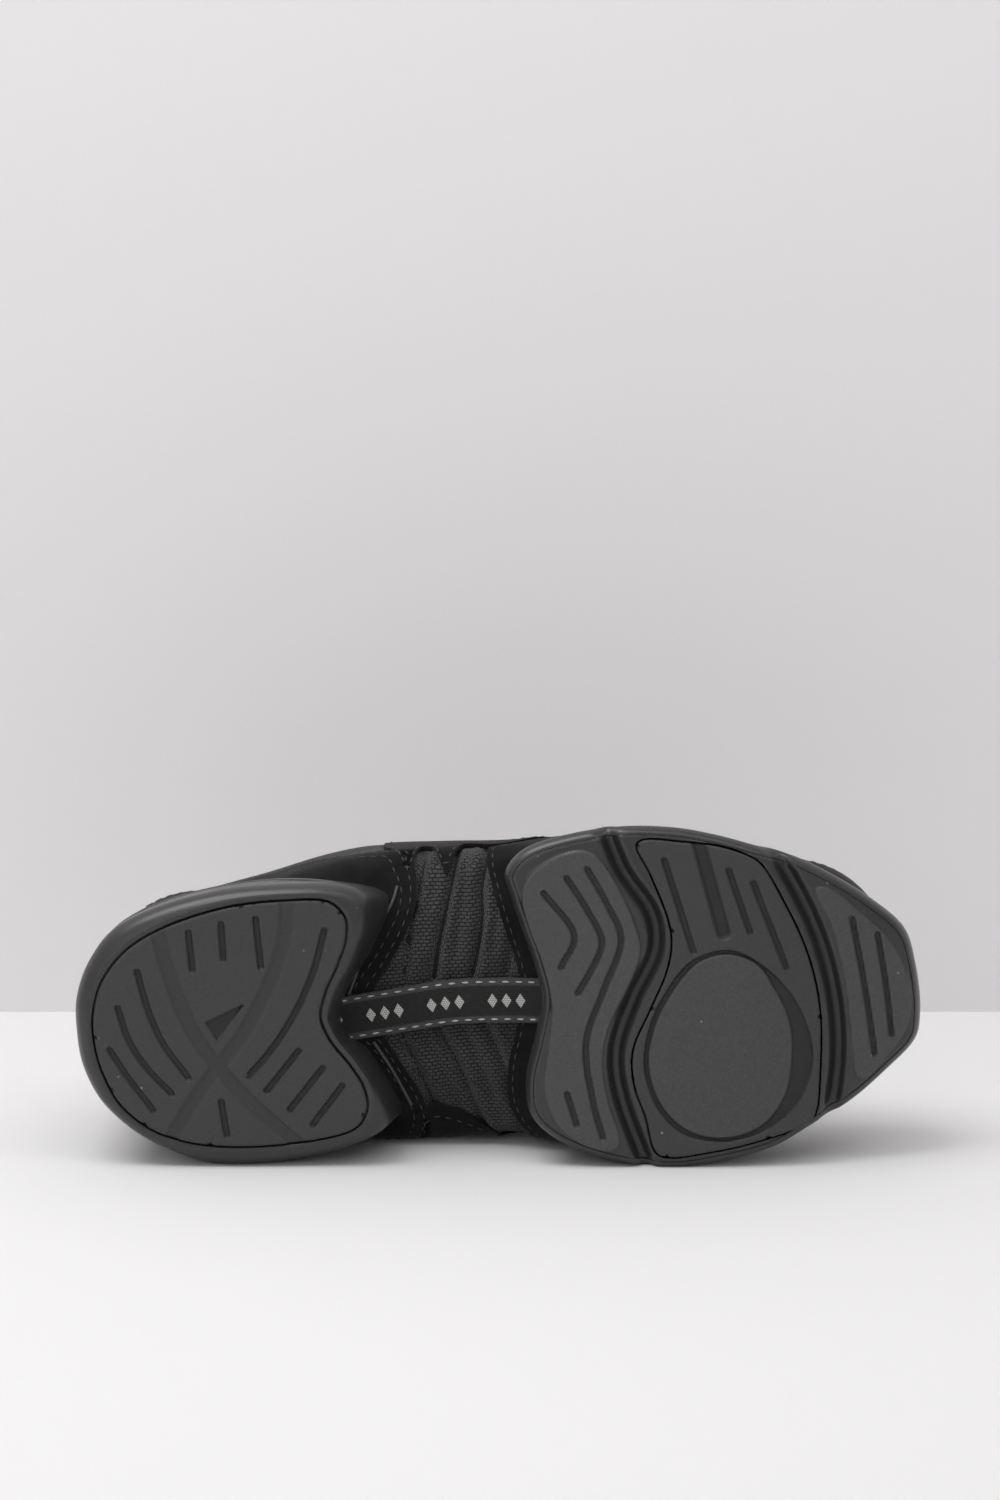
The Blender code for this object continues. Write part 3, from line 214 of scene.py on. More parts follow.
# Round the heel unit, in shares of its sizes: tread plate's line x and y, wall x and y, rim x and y,
# rim's height, and how much of the side groove is there
HEEL_ROWS = (
    (0.022, 0.020, -0.001, 0.000, 0.005, 0.000, 0.96, 1.0),
    (0.024, -0.085, 0.002, -0.130, 0.009, -0.125, 0.96, 1.0),
    (0.040, -0.205, 0.022, -0.265, 0.029, -0.255, 0.94, 1.0),
    (0.077, -0.313, 0.058, -0.375, 0.064, -0.362, 0.91, 1.0),
    (0.130, -0.382, 0.115, -0.442, 0.119, -0.430, 0.89, 1.0),
    (0.199, -0.427, 0.190, -0.483, 0.195, -0.470, 0.88, 1.0),
    (0.262, -0.434, 0.262, -0.488, 0.262, -0.478, 0.89, 0.8),
    (0.303, -0.426, 0.318, -0.476, 0.325, -0.450, 0.96, 0.0),
    (0.324, -0.376, 0.350, -0.430, 0.370, -0.408, 1.04, 0.0),
    (0.326, -0.300, 0.356, -0.340, 0.380, -0.345, 1.06, 0.0),
    (0.313, -0.200, 0.338, -0.200, 0.357, -0.200, 1.04, 0.0),
    (0.297, -0.107, 0.317, -0.100, 0.330, -0.090, 1.00, 0.0),
    (0.289, -0.015, 0.305, 0.000, 0.315, 0.005, 0.97, 0.0),
    (0.299, 0.075, 0.312, 0.080, 0.320, 0.085, 0.96, 0.0),
    (0.320, 0.165, 0.333, 0.155, 0.342, 0.145, 0.96, 0.0),
    (0.335, 0.250, 0.352, 0.250, 0.359, 0.245, 0.97, 0.0),
    (0.336, 0.331, 0.364, 0.350, 0.375, 0.360, 1.00, 0.0),
    (0.318, 0.394, 0.350, 0.425, 0.368, 0.420, 1.02, 0.0),
    (0.275, 0.421, 0.300, 0.478, 0.310, 0.464, 0.98, 0.0),
    (0.201, 0.431, 0.211, 0.508, 0.216, 0.490, 0.94, 1.0),
    (0.144, 0.415, 0.143, 0.493, 0.150, 0.476, 0.94, 1.0),
    (0.095, 0.370, 0.080, 0.408, 0.087, 0.395, 0.95, 1.0),
    (0.052, 0.270, 0.030, 0.280, 0.037, 0.272, 0.96, 1.0),
    (0.030, 0.140, 0.005, 0.135, 0.012, 0.132, 0.96, 1.0),
)
# Side from the bottom edge up: height, how far from wall to rim, how much of the bottom edge
# and of the side groove is left
HEEL_SIDE = (
    (0.00, 0.0, 1.00, 0.0), (0.06, 0.0, 0.50, 0.0), (0.14, 0.0, 0.18, 0.0), (0.24, 0.0, 0.00, 0.0),
    (0.38, 0.20, 0.00, 0.0), (0.52, 0.40, 0.00, 0.0), (0.56, 0.45, 0.00, 0.5), (0.60, 0.50, 0.00, 1.0),
    (0.70, 0.62, 0.00, 1.0), (0.75, 0.68, 0.00, 0.5), (0.79, 0.74, 0.00, 0.0), (0.90, 0.87, 0.00, 0.0),
    (1.00, 1.00, 0.00, 0.3),
)


def smooth(rows, steps, closed=True, over=2):
    """Centripetal Catmull-Rom curve through rows whose first two or three columns are a place."""
    table = np.array(rows, dtype=float)
    if not closed:
        table = np.vstack([2 * table[0] - table[1], table, 2 * table[-1] - table[-2]])
    count = len(table)
    result = []
    for span in (range(count) if closed else range(1, count - 2)):
        p = [table[(span + k) % count] for k in (-1, 0, 1, 2)]
        t = [0.0]
        for a, b in zip(p, p[1:]):
            t.append(t[-1] + max(np.linalg.norm((b - a)[:over]), 1e-9) ** 0.5)
        for step in range(steps):
            u = t[1] + (t[2] - t[1]) * step / steps
            a = [(p[k] * (t[k + 1] - u) + p[k + 1] * (u - t[k])) / (t[k + 1] - t[k]) for k in range(3)]
            b = [(a[k] * (t[k + 2] - u) + a[k + 1] * (u - t[k])) / (t[k + 2] - t[k]) for k in range(2)]
            result.append((b[0] * (t[2] - u) + b[1] * (u - t[1])) / (t[2] - t[1]))
    if not closed:
        result.append(table[-2])
    return np.array(result)


def curve(rows, size, steps, closed=False):
    """A smooth curve through rows that are shares of two sizes."""
    return smooth(np.array(rows) * size, steps, closed=closed)


def grown(outline, amount):
    """A closed outline moved outwards by an amount, in plan."""
    places = np.array(outline, dtype=float)[:, :2]
    along = np.roll(places, -1, axis=0) - np.roll(places, 1, axis=0)
    along /= np.linalg.norm(along, axis=1)[:, None]
    area = np.sum(places[:, 0] * np.roll(places[:, 1], -1) - places[:, 1] * np.roll(places[:, 0], -1))
    side = 1.0 if area > 0 else -1.0
    return places + side * amount * np.stack([along[:, 1], -along[:, 0]], axis=1)


def toe_lift(x):
    """How far the toe spring lifts the shoe at a distance from the heel."""
    reach = SOLE_LENGTH - TOE_SPRING_START
    return TOE_SPRING * (np.maximum(x - TOE_SPRING_START, 0.0) / reach) ** 2


def level(outline, height):
    """A ring of places over an outline."""
    return np.column_stack([np.asarray(outline)[:, :2], np.broadcast_to(height, len(outline))])


def drawn(name, places, faces, materials, uv=None, indexes=None, painted_shade=None):
    """An object from places in the shoe's frame, laid on its side, with a cloth map in metres.

    Painted shade says of each place how much its colour is darkened by painted shade, from nought to one,
    after how far it lies in a moulded hollow."""
    mesh = bpy.data.meshes.new(name)
    mesh.from_pydata([tuple(place) for place in places], [], [tuple(face) for face in faces])
    build = bmesh.new()
    build.from_mesh(mesh)
    build.normal_update()
    layer = build.loops.layers.uv.new("cloth")
    for face in build.faces:
        out = [abs(value) for value in face.normal]
        for loop in face.loops:
            x, y, z = loop.vert.co
            if uv is not None:
                loop[layer].uv = uv[loop.vert.index]
            elif out[2] >= max(out[0], out[1]):
                loop[layer].uv = (x, y)
            else:
                loop[layer].uv = (x, z) if out[1] >= out[0] else (y, z)
    build.to_mesh(mesh)
    build.free()
    mesh.transform(lie)
    for surface in materials:
        mesh.materials.append(surface)
    if indexes is not None:
        mesh.polygons.foreach_set("material_index", indexes)
    # Stores the painted shade share that darkens the rubber's colour in its hollows.
    if painted_shade is not None:
        painted_shade_of = mesh.attributes.new("painted_shade", "FLOAT", "POINT")
        painted_shade_of.data.foreach_set("value", np.clip(painted_shade, 0.0, 1.0))
    mesh.shade_smooth()
    mesh.set_sharp_from_angle(angle=SHARP_EDGE)
    return placed(name, mesh)


def loft(rings):
    """Places and faces of a closed body through rings of equal counts, its faces outwards."""
    count = len(rings[0])
    places = np.vstack(rings)
    faces = []
    for low in range(0, (len(rings) - 1) * count, count):
        for j in range(count):
            ahead_j = (j + 1) % count
            faces.append((low + ahead_j, low + j, low + count + j, low + count + ahead_j))
    faces.append(tuple(range(count)))
    faces.append(tuple(reversed(range((len(rings) - 1) * count, len(rings) * count))))
    return places, faces


def outwards(piece):
    """Turn a closed piece's faces outwards."""
    build = bmesh.new()
    build.from_mesh(piece.data)
    bmesh.ops.recalc_face_normals(build, faces=build.faces)
    build.to_mesh(piece.data)
    build.free()


def sole_side(wall, rim, edge, height, groove, side_levels):
    """Rings of a sole unit's side wall, from its bottom edge to its rim."""
    rings = []
    room = 1 - 0.5 * np.clip(groove / HEEL_GROOVE_DEPTH, 0.0, 1.0)
    for share, to_rim, to_edge, cut in smooth(side_levels, 3, closed=False):
        at = wall + (rim - wall) * (to_rim * room)[:, None]
        at = at + (edge - at) * to_edge
        side = grown(at, 1.0) - at
        rise = SOLE_EDGE_RISE + share * (height - SOLE_EDGE_RISE)
        rings.append(level(at - side * (cut * groove)[:, None], rise))
    return rings


def closed_above(rings, inner, depth):
    """Rings that round a rim over and go in under the upper, down to an inner outline."""
    top = rings[-1]
    rim = [level(grown(top, -inset), top[:, 2] + rise) for inset, rise in RIM_ROUND]
    return rim + [level(inner, depth)]


heel_table = smooth(HEEL_ROWS, 9)
heel_tread_line = heel_table[:, 0:2] * HEEL
heel_wall = heel_table[:, 2:4] * HEEL
heel_rim = heel_table[:, 4:6] * HEEL
heel_edge = grown(heel_tread_line, TREAD_BORDER)
side = sole_side(heel_wall, heel_rim, heel_edge, heel_table[:, 6] * HEEL_RIM_HEIGHT,
                 heel_table[:, 7] * HEEL_GROOVE_DEPTH, HEEL_SIDE)
# The pocket for the tread plate and the border round it: how far out of the plate's line, and height
POCKET = (
    (TREAD_LINE, TREAD_THICKNESS + 0.3 * MM), (TREAD_LINE, SOLE_EDGE_RISE + 0.3 * MM),
    (TREAD_LINE + 0.1 * MM, SOLE_EDGE_RISE + 0.1 * MM), (TREAD_LINE + 0.3 * MM, SOLE_EDGE_RISE),
    (TREAD_BORDER - 0.4 * MM, SOLE_EDGE_RISE - 0.05 * MM),
)
bottom = [level(grown(heel_tread_line, out), rise) for out, rise in POCKET]
places, faces = loft(bottom + side + closed_above(side, heel_tread_line, 0.55 * HEEL_RIM_HEIGHT))


def noise(tree, where, scale, detail, rough=0.5, bend=0.0):
    """Cloudy values over places."""
    made = add(tree, "TexNoise", {"Vector": where, "Scale": scale, "Detail": detail, "Roughness": rough,
                                  "Distortion": bend})
    return made.outputs["Fac"]


def mixed(tree, share, one, two, blend="MIX"):
    """The colour between two others, each a web colour or linked."""
    one, two = (linear(tone) if isinstance(tone, str) else tone for tone in (one, two))
    made = add(tree, "MixRGB", {"Fac": share, "Color1": one, "Color2": two}, blend_type=blend)
    return made.outputs["Color"]


def rubber(name, colour, light, roughness, grit, grit_height, specks):
    """Moulded rubber: a close grain from the mould, a cloudy tone, a little pale dust on it, and
    painted shade that darkens its colour in its hollows."""
    made, tree, shader = finish_of(name, {"IOR": 1.5})
    where = add(tree, "TexCoord").outputs["Object"]
    cloud = noise(tree, where, 38.0, 5.0, rough=0.62)
    close = noise(tree, where, 1.0 / grit, 3.0, rough=0.7)
    dust = add(tree, "TexVoronoi", {"Vector": where, "Scale": 190.0, "Randomness": 1.0})
    dot = add(tree, "ValToRGB", {"Fac": dust.outputs["Distance"]})
    for stop, reach, pale in zip(dot.color_ramp.elements, (0.02, 0.10), (specks, 0.0)):
        stop.position = reach
        stop.color = (pale, pale, pale, 1.0)
    few = maths(tree, "GREATER_THAN", noise(tree, where, 60.0, 1.0), 0.60)
    seen = maths(tree, "MULTIPLY", dot.outputs["Color"], few)
    grain = mixed(tree, 0.50, mixed(tree, cloud, colour, light), close, "OVERLAY")
    dusty = mixed(tree, seen, grain, "#8f8f8e")
    # Painted shade: the colour is pulled towards a dark #161617 by the share that the mesh stores for its
    # hollows.
    deep = add(tree, "Attribute", attribute_name="painted_shade")
    shaded = maths(tree, "MULTIPLY", deep.outputs["Fac"], 0.88)
    tree.links.new(mixed(tree, shaded, dusty, "#161617"), shader.inputs["Base Color"])
    gloss = add(tree, "MapRange", {"Value": cloud, "From Min": 0.3, "From Max": 0.7,
                                   "To Min": roughness - 0.06, "To Max": roughness + 0.06})
    tree.links.new(gloss.outputs["Result"], shader.inputs["Roughness"])
    bumped(tree, shader, close, grit_height)
    return made


satin_rubber = rubber("moulded_rubber_satin", "#262627", "#343435", 0.31, 0.45 * MM, 0.03 * MM, 0.5)
heel_cup = drawn("heel_cup_visual", places, faces, [satin_rubber])
outwards(heel_cup)
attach(heel_cup, "root")
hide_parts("heel_cup")


# Heel tread: a plate of grained grip rubber let into the heel unit, with a thin dark line round it,
# a narrow gap whose walls on the plate's side get painted shade. Bars, a soft cross of two shallow bands and
# a small sunk triangle are moulded in.

TREAD_GRID = 0.42 * MM
SLOT_SOFT = 0.55 * MM
SLOT_WIDTH = 1.7 * MM
SLOT_DEPTH = 1.0 * MM
CROSS_WIDTH = 4.0 * MM
CROSS_DEPTH = 0.55 * MM
TREAD_ROUND = 0.7 * MM
TREAD_EASE = 0.45
PIT_RADIUS = 0.6 * MM
PIT_DEPTH = 1.2 * MM
# Places of the mould's vent pits, counted along the tread plate's line
HEEL_PITS = (1, 46, 63, 71, 146, 179, 193, 203)

HEEL_SLOTS = (
    ((0.142, -0.345), (0.143, -0.213)),
    ((0.181, -0.369), (0.181, -0.246)),
    ((0.222, -0.379), (0.224, -0.209)),
    ((0.078, -0.218), (0.087, -0.085), (0.102, 0.042), (0.129, 0.171)),
    ((0.052, -0.092), (0.062, 0.025), (0.081, 0.128), (0.108, 0.225)),
    ((0.039, 0.056), (0.056, 0.148), (0.085, 0.282)),
    ((0.302, -0.324), (0.285, -0.175), (0.260, -0.033), (0.229, 0.093), (0.201, 0.178)),
    ((0.262, 0.100), (0.221, 0.236)),
    ((0.289, 0.167), (0.247, 0.308)),
    ((0.311, 0.234), (0.273, 0.367)),
    ((0.166, 0.266), (0.170, 0.387)),
)
HEEL_CROSS = (
    ((0.102, -0.420), (0.115, -0.211), (0.143, 0.034), (0.192, 0.243), (0.262, 0.460)),
    ((0.262, -0.470), (0.252, -0.281), (0.207, -0.010), (0.138, 0.240), (0.094, 0.430)),
)
HEEL_TRIANGLE = ((0.154, -0.021), (0.201, -0.078), (0.166, 0.043))


def from_line(points, line):
    """Distance in plan from an open line."""
    line = np.asarray(line)[:, :2]
    best = np.full(len(points), 1.0)
    for a, b in zip(line, line[1:]):
        along = b - a
        rest = points[:, :2] - a
        share = np.clip(rest @ along / max(along @ along, 1e-14), 0.0, 1.0)
        best = np.minimum(best, ((rest - share[:, None] * along) ** 2).sum(axis=1))
    return np.sqrt(best)


def from_outline(points, outline):
    """Distance in plan from a closed outline, below zero inside it."""
    ring = np.vstack([outline, outline[:1]])[:, :2]
    inside = np.zeros(len(points), dtype=bool)
    for a, b in zip(ring, ring[1:]):
        rise = b[1] - a[1]
        slope = (b[0] - a[0]) / (rise if abs(rise) > 1e-12 else 1e-12)
        level_with = (a[1] > points[:, 1]) != (b[1] > points[:, 1])
        inside ^= level_with & (points[:, 0] < a[0] + (points[:, 1] - a[1]) * slope)
    return np.where(inside, -1.0, 1.0) * from_line(points, ring)


def within(distance, softness):
    """One inside a shape, nought outside, with a soft step across its edge."""
    share = np.clip(0.5 - distance / softness, 0.0, 1.0)
    return share * share * (3 - 2 * share)


def edges_of(faces):
    """Every triangle's three edges, the first edges of all, then the second and the third."""
    return np.vstack([faces[:, [0, 1]], faces[:, [1, 2]], faces[:, [2, 0]]])


def rim_of(faces):
    """The edges that only one triangle of a sheet has."""
    edges = edges_of(faces)
    _, first, count = np.unique(np.sort(edges, axis=1), axis=0, return_index=True, return_counts=True)
    return edges[first[count == 1]]


def trimmed(places, faces, *cuts):
    """Cut a triangle sheet along each line where a measure of its places passes nought."""
    places = np.array(places, dtype=float)
    faces = np.asarray(faces)
    for beyond in cuts:
        measure = beyond(places)
        edges = np.unique(np.sort(edges_of(faces), axis=1), axis=0)
        one, two = edges[:, 0], edges[:, 1]
        crossing = measure[one] * measure[two] < 0
        one, two = one[crossing], two[crossing]
        share = measure[one] / (measure[one] - measure[two])
        nearer = np.where(share < 0.5, one, two)
        met = places[one] + share[:, None] * (places[two] - places[one])
        order = np.argsort(-np.linalg.norm((met - places[nearer])[:, :3], axis=1))
        places[nearer[order]] = met[order]
        was = measure.copy()
        measure[nearer] = 0.0
        faces = faces[(measure[faces] <= 0).all(axis=1) & (was[faces].mean(axis=1) <= 0)]
        used, compact = np.unique(faces, return_inverse=True)
        places, faces = places[used], compact.reshape(-1, 3)
    return places, faces


def grid_over(outline, spacing):
    """A flat sheet of triangles over an outline's box."""
    low = np.min(outline, axis=0)[:2] - spacing
    high = np.max(outline, axis=0)[:2] + spacing
    nx, ny = (int(value) for value in np.ceil((high - low) / spacing))
    x, y = np.meshgrid(*(start + spacing * np.arange(steps + 1) for start, steps in zip(low, (nx, ny))),
                       indexing="ij")
    places = np.column_stack([x.ravel(), y.ravel(), np.zeros(x.size)])
    i, j = (part.ravel() for part in np.meshgrid(np.arange(nx), np.arange(ny), indexing="ij"))
    a = i * (ny + 1) + j
    b, c, d = a + ny + 1, a + ny + 2, a + 1
    return places, np.vstack([np.column_stack([a, d, c]), np.column_stack([a, c, b])])


def skirted(places, faces, depth):
    """A relief sheet with walls from its edges up into the sole, and the walls' faces."""
    rim = rim_of(faces)
    used, compact = np.unique(rim, return_inverse=True)
    low = places[used].copy()
    low[:, 2] = depth + toe_lift(low[:, 0])
    compact = compact.reshape(-1, 2) + len(places)
    walls = [(b, a, c, d) for (a, b), (c, d) in zip(rim, compact)]
    return np.vstack([places, low]), [tuple(face) for face in faces] + walls


def pitted(places, height, spots):
    """A relief with the small round vent pits of the mould sunk into it."""
    for x, y in spots[:, :2]:
        away = np.hypot(places[:, 0] - x, places[:, 1] - y)
        height = np.maximum(height, PIT_DEPTH * within(away - PIT_RADIUS, 0.4 * MM))
    return height


def carved(places, height, line, width, depth, softness):
    """A relief with a channel cut along a line."""
    return np.maximum(height, depth * within(from_line(places, line) - width / 2, softness))


def eased(places, outline):
    """How far the rounded border of a tread plate falls back behind its face."""
    border = np.clip(-from_outline(places, outline), 0.0, TREAD_ROUND)
    return TREAD_EASE * (TREAD_ROUND - np.sqrt(TREAD_ROUND ** 2 - (TREAD_ROUND - border) ** 2))


grip_rubber = rubber("moulded_rubber_grip", "#2f2f30", "#393939", 0.60, 0.50 * MM, 0.08 * MM, 0.8)
places, faces = grid_over(heel_tread_line, TREAD_GRID)
places, faces = trimmed(places, faces, lambda p: from_outline(p, heel_tread_line))
height = np.zeros(len(places))
for band in HEEL_CROSS:
    height = carved(places, height, curve(band, HEEL, 6), CROSS_WIDTH, CROSS_DEPTH, 0.8 * MM)
for slot in HEEL_SLOTS:
    height = carved(places, height, curve(slot, HEEL, 6), SLOT_WIDTH, SLOT_DEPTH, SLOT_SOFT)
triangle = from_outline(places, np.array(HEEL_TRIANGLE) * HEEL)
height = np.maximum(height, SLOT_DEPTH * within(triangle, SLOT_SOFT))
height = pitted(places, height, heel_tread_line[list(HEEL_PITS)])
# Painted shade: the deeper a place lies in a slot, a band, the triangle or a pit, the darker its colour is
# painted.
painted_shade = (height / SLOT_DEPTH) ** 2
places[:, 2] = height + eased(places, heel_tread_line)
places, faces = skirted(places, faces, TREAD_THICKNESS)
# The plate's skirt walls, in the gap round it, are painted in full shade.
painted_shade = np.append(painted_shade, np.ones(len(places) - len(painted_shade)))
heel_tread = drawn("heel_tread_visual", places, faces, [grip_rubber], painted_shade=painted_shade)
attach(heel_tread, "root")
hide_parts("heel_tread")


# Forefoot unit: one satin rubber moulding with a rear pad and a toe pad of grained rubber,
# flex grooves on both sides of the tread plate's pocket, and a low stepped side.

FOREFOOT_WIDTH = 103.5 * MM
FOREFOOT_RIM_HEIGHT = 13.5 * MM
FLEX_GROOVE_WIDTH = 4.5 * MM
FLEX_GROOVE_DEPTH = 2.8 * MM
FORE = np.array((SOLE_LENGTH, FOREFOOT_WIDTH))

# Round the forefoot unit, in shares of its sizes: wall x and y, how far the rim leans in, rim's height
FORE_ROWS = (
    (0.519, -0.395, 0.20, 1.10), (0.546, -0.460, 0.28, 1.06),
    (0.600, -0.493, 0.30, 1.00), (0.660, -0.505, 0.30, 0.96),
    (0.720, -0.493, 0.30, 0.94), (0.770, -0.464, 0.28, 0.94),
    (0.815, -0.426, 0.26, 0.96), (0.860, -0.386, 0.24, 1.00),
    (0.905, -0.322, 0.22, 1.06), (0.950, -0.240, 0.20, 1.14),
    (0.990, -0.142, 0.16, 1.22), (1.003, -0.030, 0.14, 1.26),
    (1.006, 0.120, 0.14, 1.26), (0.997, 0.195, 0.16, 1.22),
    (0.960, 0.268, 0.20, 1.14), (0.915, 0.342, 0.22, 1.06),
    (0.868, 0.397, 0.24, 1.00), (0.815, 0.456, 0.26, 0.96),
    (0.757, 0.483, 0.28, 0.94), (0.702, 0.496, 0.28, 0.94),
    (0.650, 0.479, 0.28, 0.96), (0.600, 0.443, 0.26, 1.00),
    (0.556, 0.385, 0.20, 1.06), (0.531, 0.315, 0.12, 1.12),
    (0.528, 0.215, 0.05, 1.20), (0.543, 0.085, 0.05, 1.20),
    (0.553, -0.020, 0.05, 1.20), (0.546, -0.125, 0.05, 1.20),
    (0.533, -0.235, 0.05, 1.20), (0.523, -0.330, 0.10, 1.16),
)
FORE_SIDE = (
    (0.00, 0.0, 1.00, 0.0), (0.08, 0.0, 0.45, 0.0), (0.17, 0.0, 0.15, 0.0), (0.28, 0.0, 0.00, 0.0),
    (0.40, 0.12, 0.00, 0.0), (0.52, 0.32, 0.00, 0.0), (0.57, 0.45, 0.00, 0.8), (0.62, 0.58, 0.00, 1.0),
    (0.70, 0.72, 0.00, 0.4), (0.90, 0.90, 0.00, 0.0), (1.00, 1.00, 0.00, 0.6),
)
REAR_PAD = (
    (0.537, -0.330), (0.545, -0.378), (0.566, -0.417), (0.590, -0.441), (0.612, -0.446),
    (0.629, -0.424), (0.650, -0.340), (0.669, -0.217), (0.673, -0.150), (0.656, -0.043),
    (0.631, 0.060), (0.620, 0.170), (0.624, 0.284), (0.635, 0.405), (0.626, 0.430),
    (0.604, 0.421), (0.581, 0.390), (0.560, 0.335), (0.549, 0.236), (0.557, 0.120),
    (0.564, 0.000), (0.556, -0.130), (0.543, -0.230),
)
TOE_PAD = (
    (0.884, -0.288), (0.900, -0.287), (0.933, -0.215), (0.968, -0.123), (0.988, -0.025),
    (0.993, 0.076), (0.984, 0.153), (0.962, 0.212), (0.932, 0.276), (0.922, 0.268),
    (0.918, 0.165), (0.913, -0.020), (0.902, -0.170),
)
FORE_TREAD = (
    (0.676, -0.452), (0.684, -0.465), (0.727, -0.453), (0.773, -0.432), (0.812, -0.391),
    (0.824, -0.360), (0.845, -0.257), (0.864, -0.146), (0.876, -0.036), (0.881, 0.082),
    (0.877, 0.240), (0.869, 0.362), (0.858, 0.388), (0.795, 0.428), (0.740, 0.449),
    (0.690, 0.456), (0.677, 0.438), (0.668, 0.334), (0.657, 0.240), (0.658, 0.140),
    (0.682, 0.023), (0.706, -0.100), (0.711, -0.200), (0.690, -0.370),
)
FLEX_GROOVES = (
    ((0.634, -0.560), (0.657, -0.385), (0.689, -0.250), (0.691, -0.150), (0.661, -0.010),
     (0.638, 0.130), (0.638, 0.250), (0.676, 0.560)),
    ((0.818, -0.480), (0.850, -0.350), (0.880, -0.184), (0.897, -0.020), (0.902, 0.140),
     (0.895, 0.290), (0.874, 0.470)),
)
PAD_SLOTS = (
    ((0.563, -0.331), (0.596, -0.202), (0.578, -0.114)),
    ((0.591, -0.371), (0.614, -0.270), (0.628, -0.179), (0.612, -0.095), (0.596, -0.037)),
    ((0.616, -0.392), (0.637, -0.287), (0.651, -0.186), (0.627, -0.042), (0.602, 0.109),
     (0.606, 0.279), (0.615, 0.388)),
    ((0.576, 0.255), (0.585, 0.345)),
    ((0.926, -0.191), (0.937, 0.010), (0.945, 0.210)),
    ((0.956, -0.136), (0.963, 0.012), (0.967, 0.160)),
)


def flex_depth(away):
    """Depth of a rounded flex groove at a distance from its middle line."""
    share = np.clip(away / (0.72 * FLEX_GROOVE_WIDTH), 0.0, 1.0)
    return FLEX_GROOVE_DEPTH * (0.5 + 0.5 * np.cos(math.pi * share ** 1.3))


fore_table = smooth(FORE_ROWS, 9)
fore_wall = fore_table[:, 0:2] * FORE
fore_out = grown(fore_wall, 1.0) - fore_wall
fore_rim = fore_wall - fore_out * fore_table[:, 2:3] * FOREFOOT_RIM_HEIGHT
fore_edge = fore_wall - fore_out * TREAD_BORDER
side = sole_side(fore_wall, fore_rim, fore_edge, fore_table[:, 3] * FOREFOOT_RIM_HEIGHT,
                 np.full(len(fore_table), 0.5 * HEEL_GROOVE_DEPTH), FORE_SIDE)
side[0][:, 2] += LIP_ROUND * 0.5
flex_lines = [curve(groove, FORE, 8) for groove in FLEX_GROOVES]
fore_height = fore_table[:, 3] * FOREFOOT_RIM_HEIGHT
for ring in side:
    left = 1 - (ring[:, 2] - SOLE_EDGE_RISE) / (fore_height - SOLE_EDGE_RISE)
    ring[:, 2] += sum(flex_depth(from_line(ring, line)) for line in flex_lines) * left
rings = side + closed_above(side, grown(fore_wall, -6.0 * MM), 0.50 * FOREFOOT_RIM_HEIGHT)
for ring in rings:
    ring[:, 2] += toe_lift(ring[:, 0])
wall_places, wall_faces = loft(rings)
wall_faces = wall_faces[:-2] + wall_faces[-1:]

fore_tread_line = curve(FORE_TREAD, FORE, 4, closed=True)
fore_pocket = grown(fore_tread_line, TREAD_LINE)
pads = [curve(outline, FORE, 4, closed=True) for outline in (REAR_PAD, TOE_PAD)]
places, faces = grid_over(fore_edge, TREAD_GRID)
places, faces = trimmed(places, faces, lambda p: from_outline(p, fore_edge),
                        lambda p: -from_outline(p, fore_pocket))
height = np.full(len(places), SOLE_EDGE_RISE)
for pad in pads:
    height -= SOLE_EDGE_RISE * within(from_outline(places, pad), 0.8 * MM)
# Painted shade: places in the flex grooves and the pad slots are painted darker the deeper they lie.
painted_shade = np.zeros(len(places))
for line in flex_lines:
    away = from_line(places, line)
    height -= 0.12 * MM * np.exp(-((away - 0.85 * FLEX_GROOVE_WIDTH) / (0.6 * MM)) ** 2)
    height += flex_depth(away)
    painted_shade += 0.85 * flex_depth(away) / FLEX_GROOVE_DEPTH
for slot in PAD_SLOTS:
    cut = within(from_line(places, curve(slot, FORE, 6)) - SLOT_WIDTH / 2, SLOT_SOFT)
    height += SLOT_DEPTH * cut
    painted_shade += cut ** 2
border = np.clip(-from_outline(places, fore_edge), 0.0, 2 * LIP_ROUND)
height += LIP_ROUND * (1 - border / (2 * LIP_ROUND)) ** 2
places[:, 2] = height + toe_lift(places[:, 0])
centres = places[faces].mean(axis=1)
on_pad = np.minimum(from_outline(centres, pads[0]), from_outline(centres, pads[1])) < -0.2 * MM
count = len(faces)
places, faces = skirted(places, faces, TREAD_THICKNESS + 0.3 * MM)
indexes = [int(value) for value in on_pad] + [0] * (len(faces) - count + len(wall_faces))
faces = faces + [tuple(index + len(places) for index in face) for face in wall_faces]
painted_shade = np.append(painted_shade, np.zeros(len(places) - len(painted_shade) + len(wall_places)))
places = np.vstack([places, wall_places])
pad_rubber = rubber("moulded_rubber_pad", "#3b3b3c", "#474748", 0.56, 0.70 * MM, 0.18 * MM, 0.7)
forefoot_sole = drawn("forefoot_sole_visual", places, faces, [satin_rubber, pad_rubber], indexes=indexes,
                      painted_shade=painted_shade)
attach(forefoot_sole, "root")
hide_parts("forefoot_sole")


# Forefoot tread: a plate of the same grip rubber, with bars, an open channel and the pivot
# disc, a smooth round area that stands in a shallow crescent hollow.

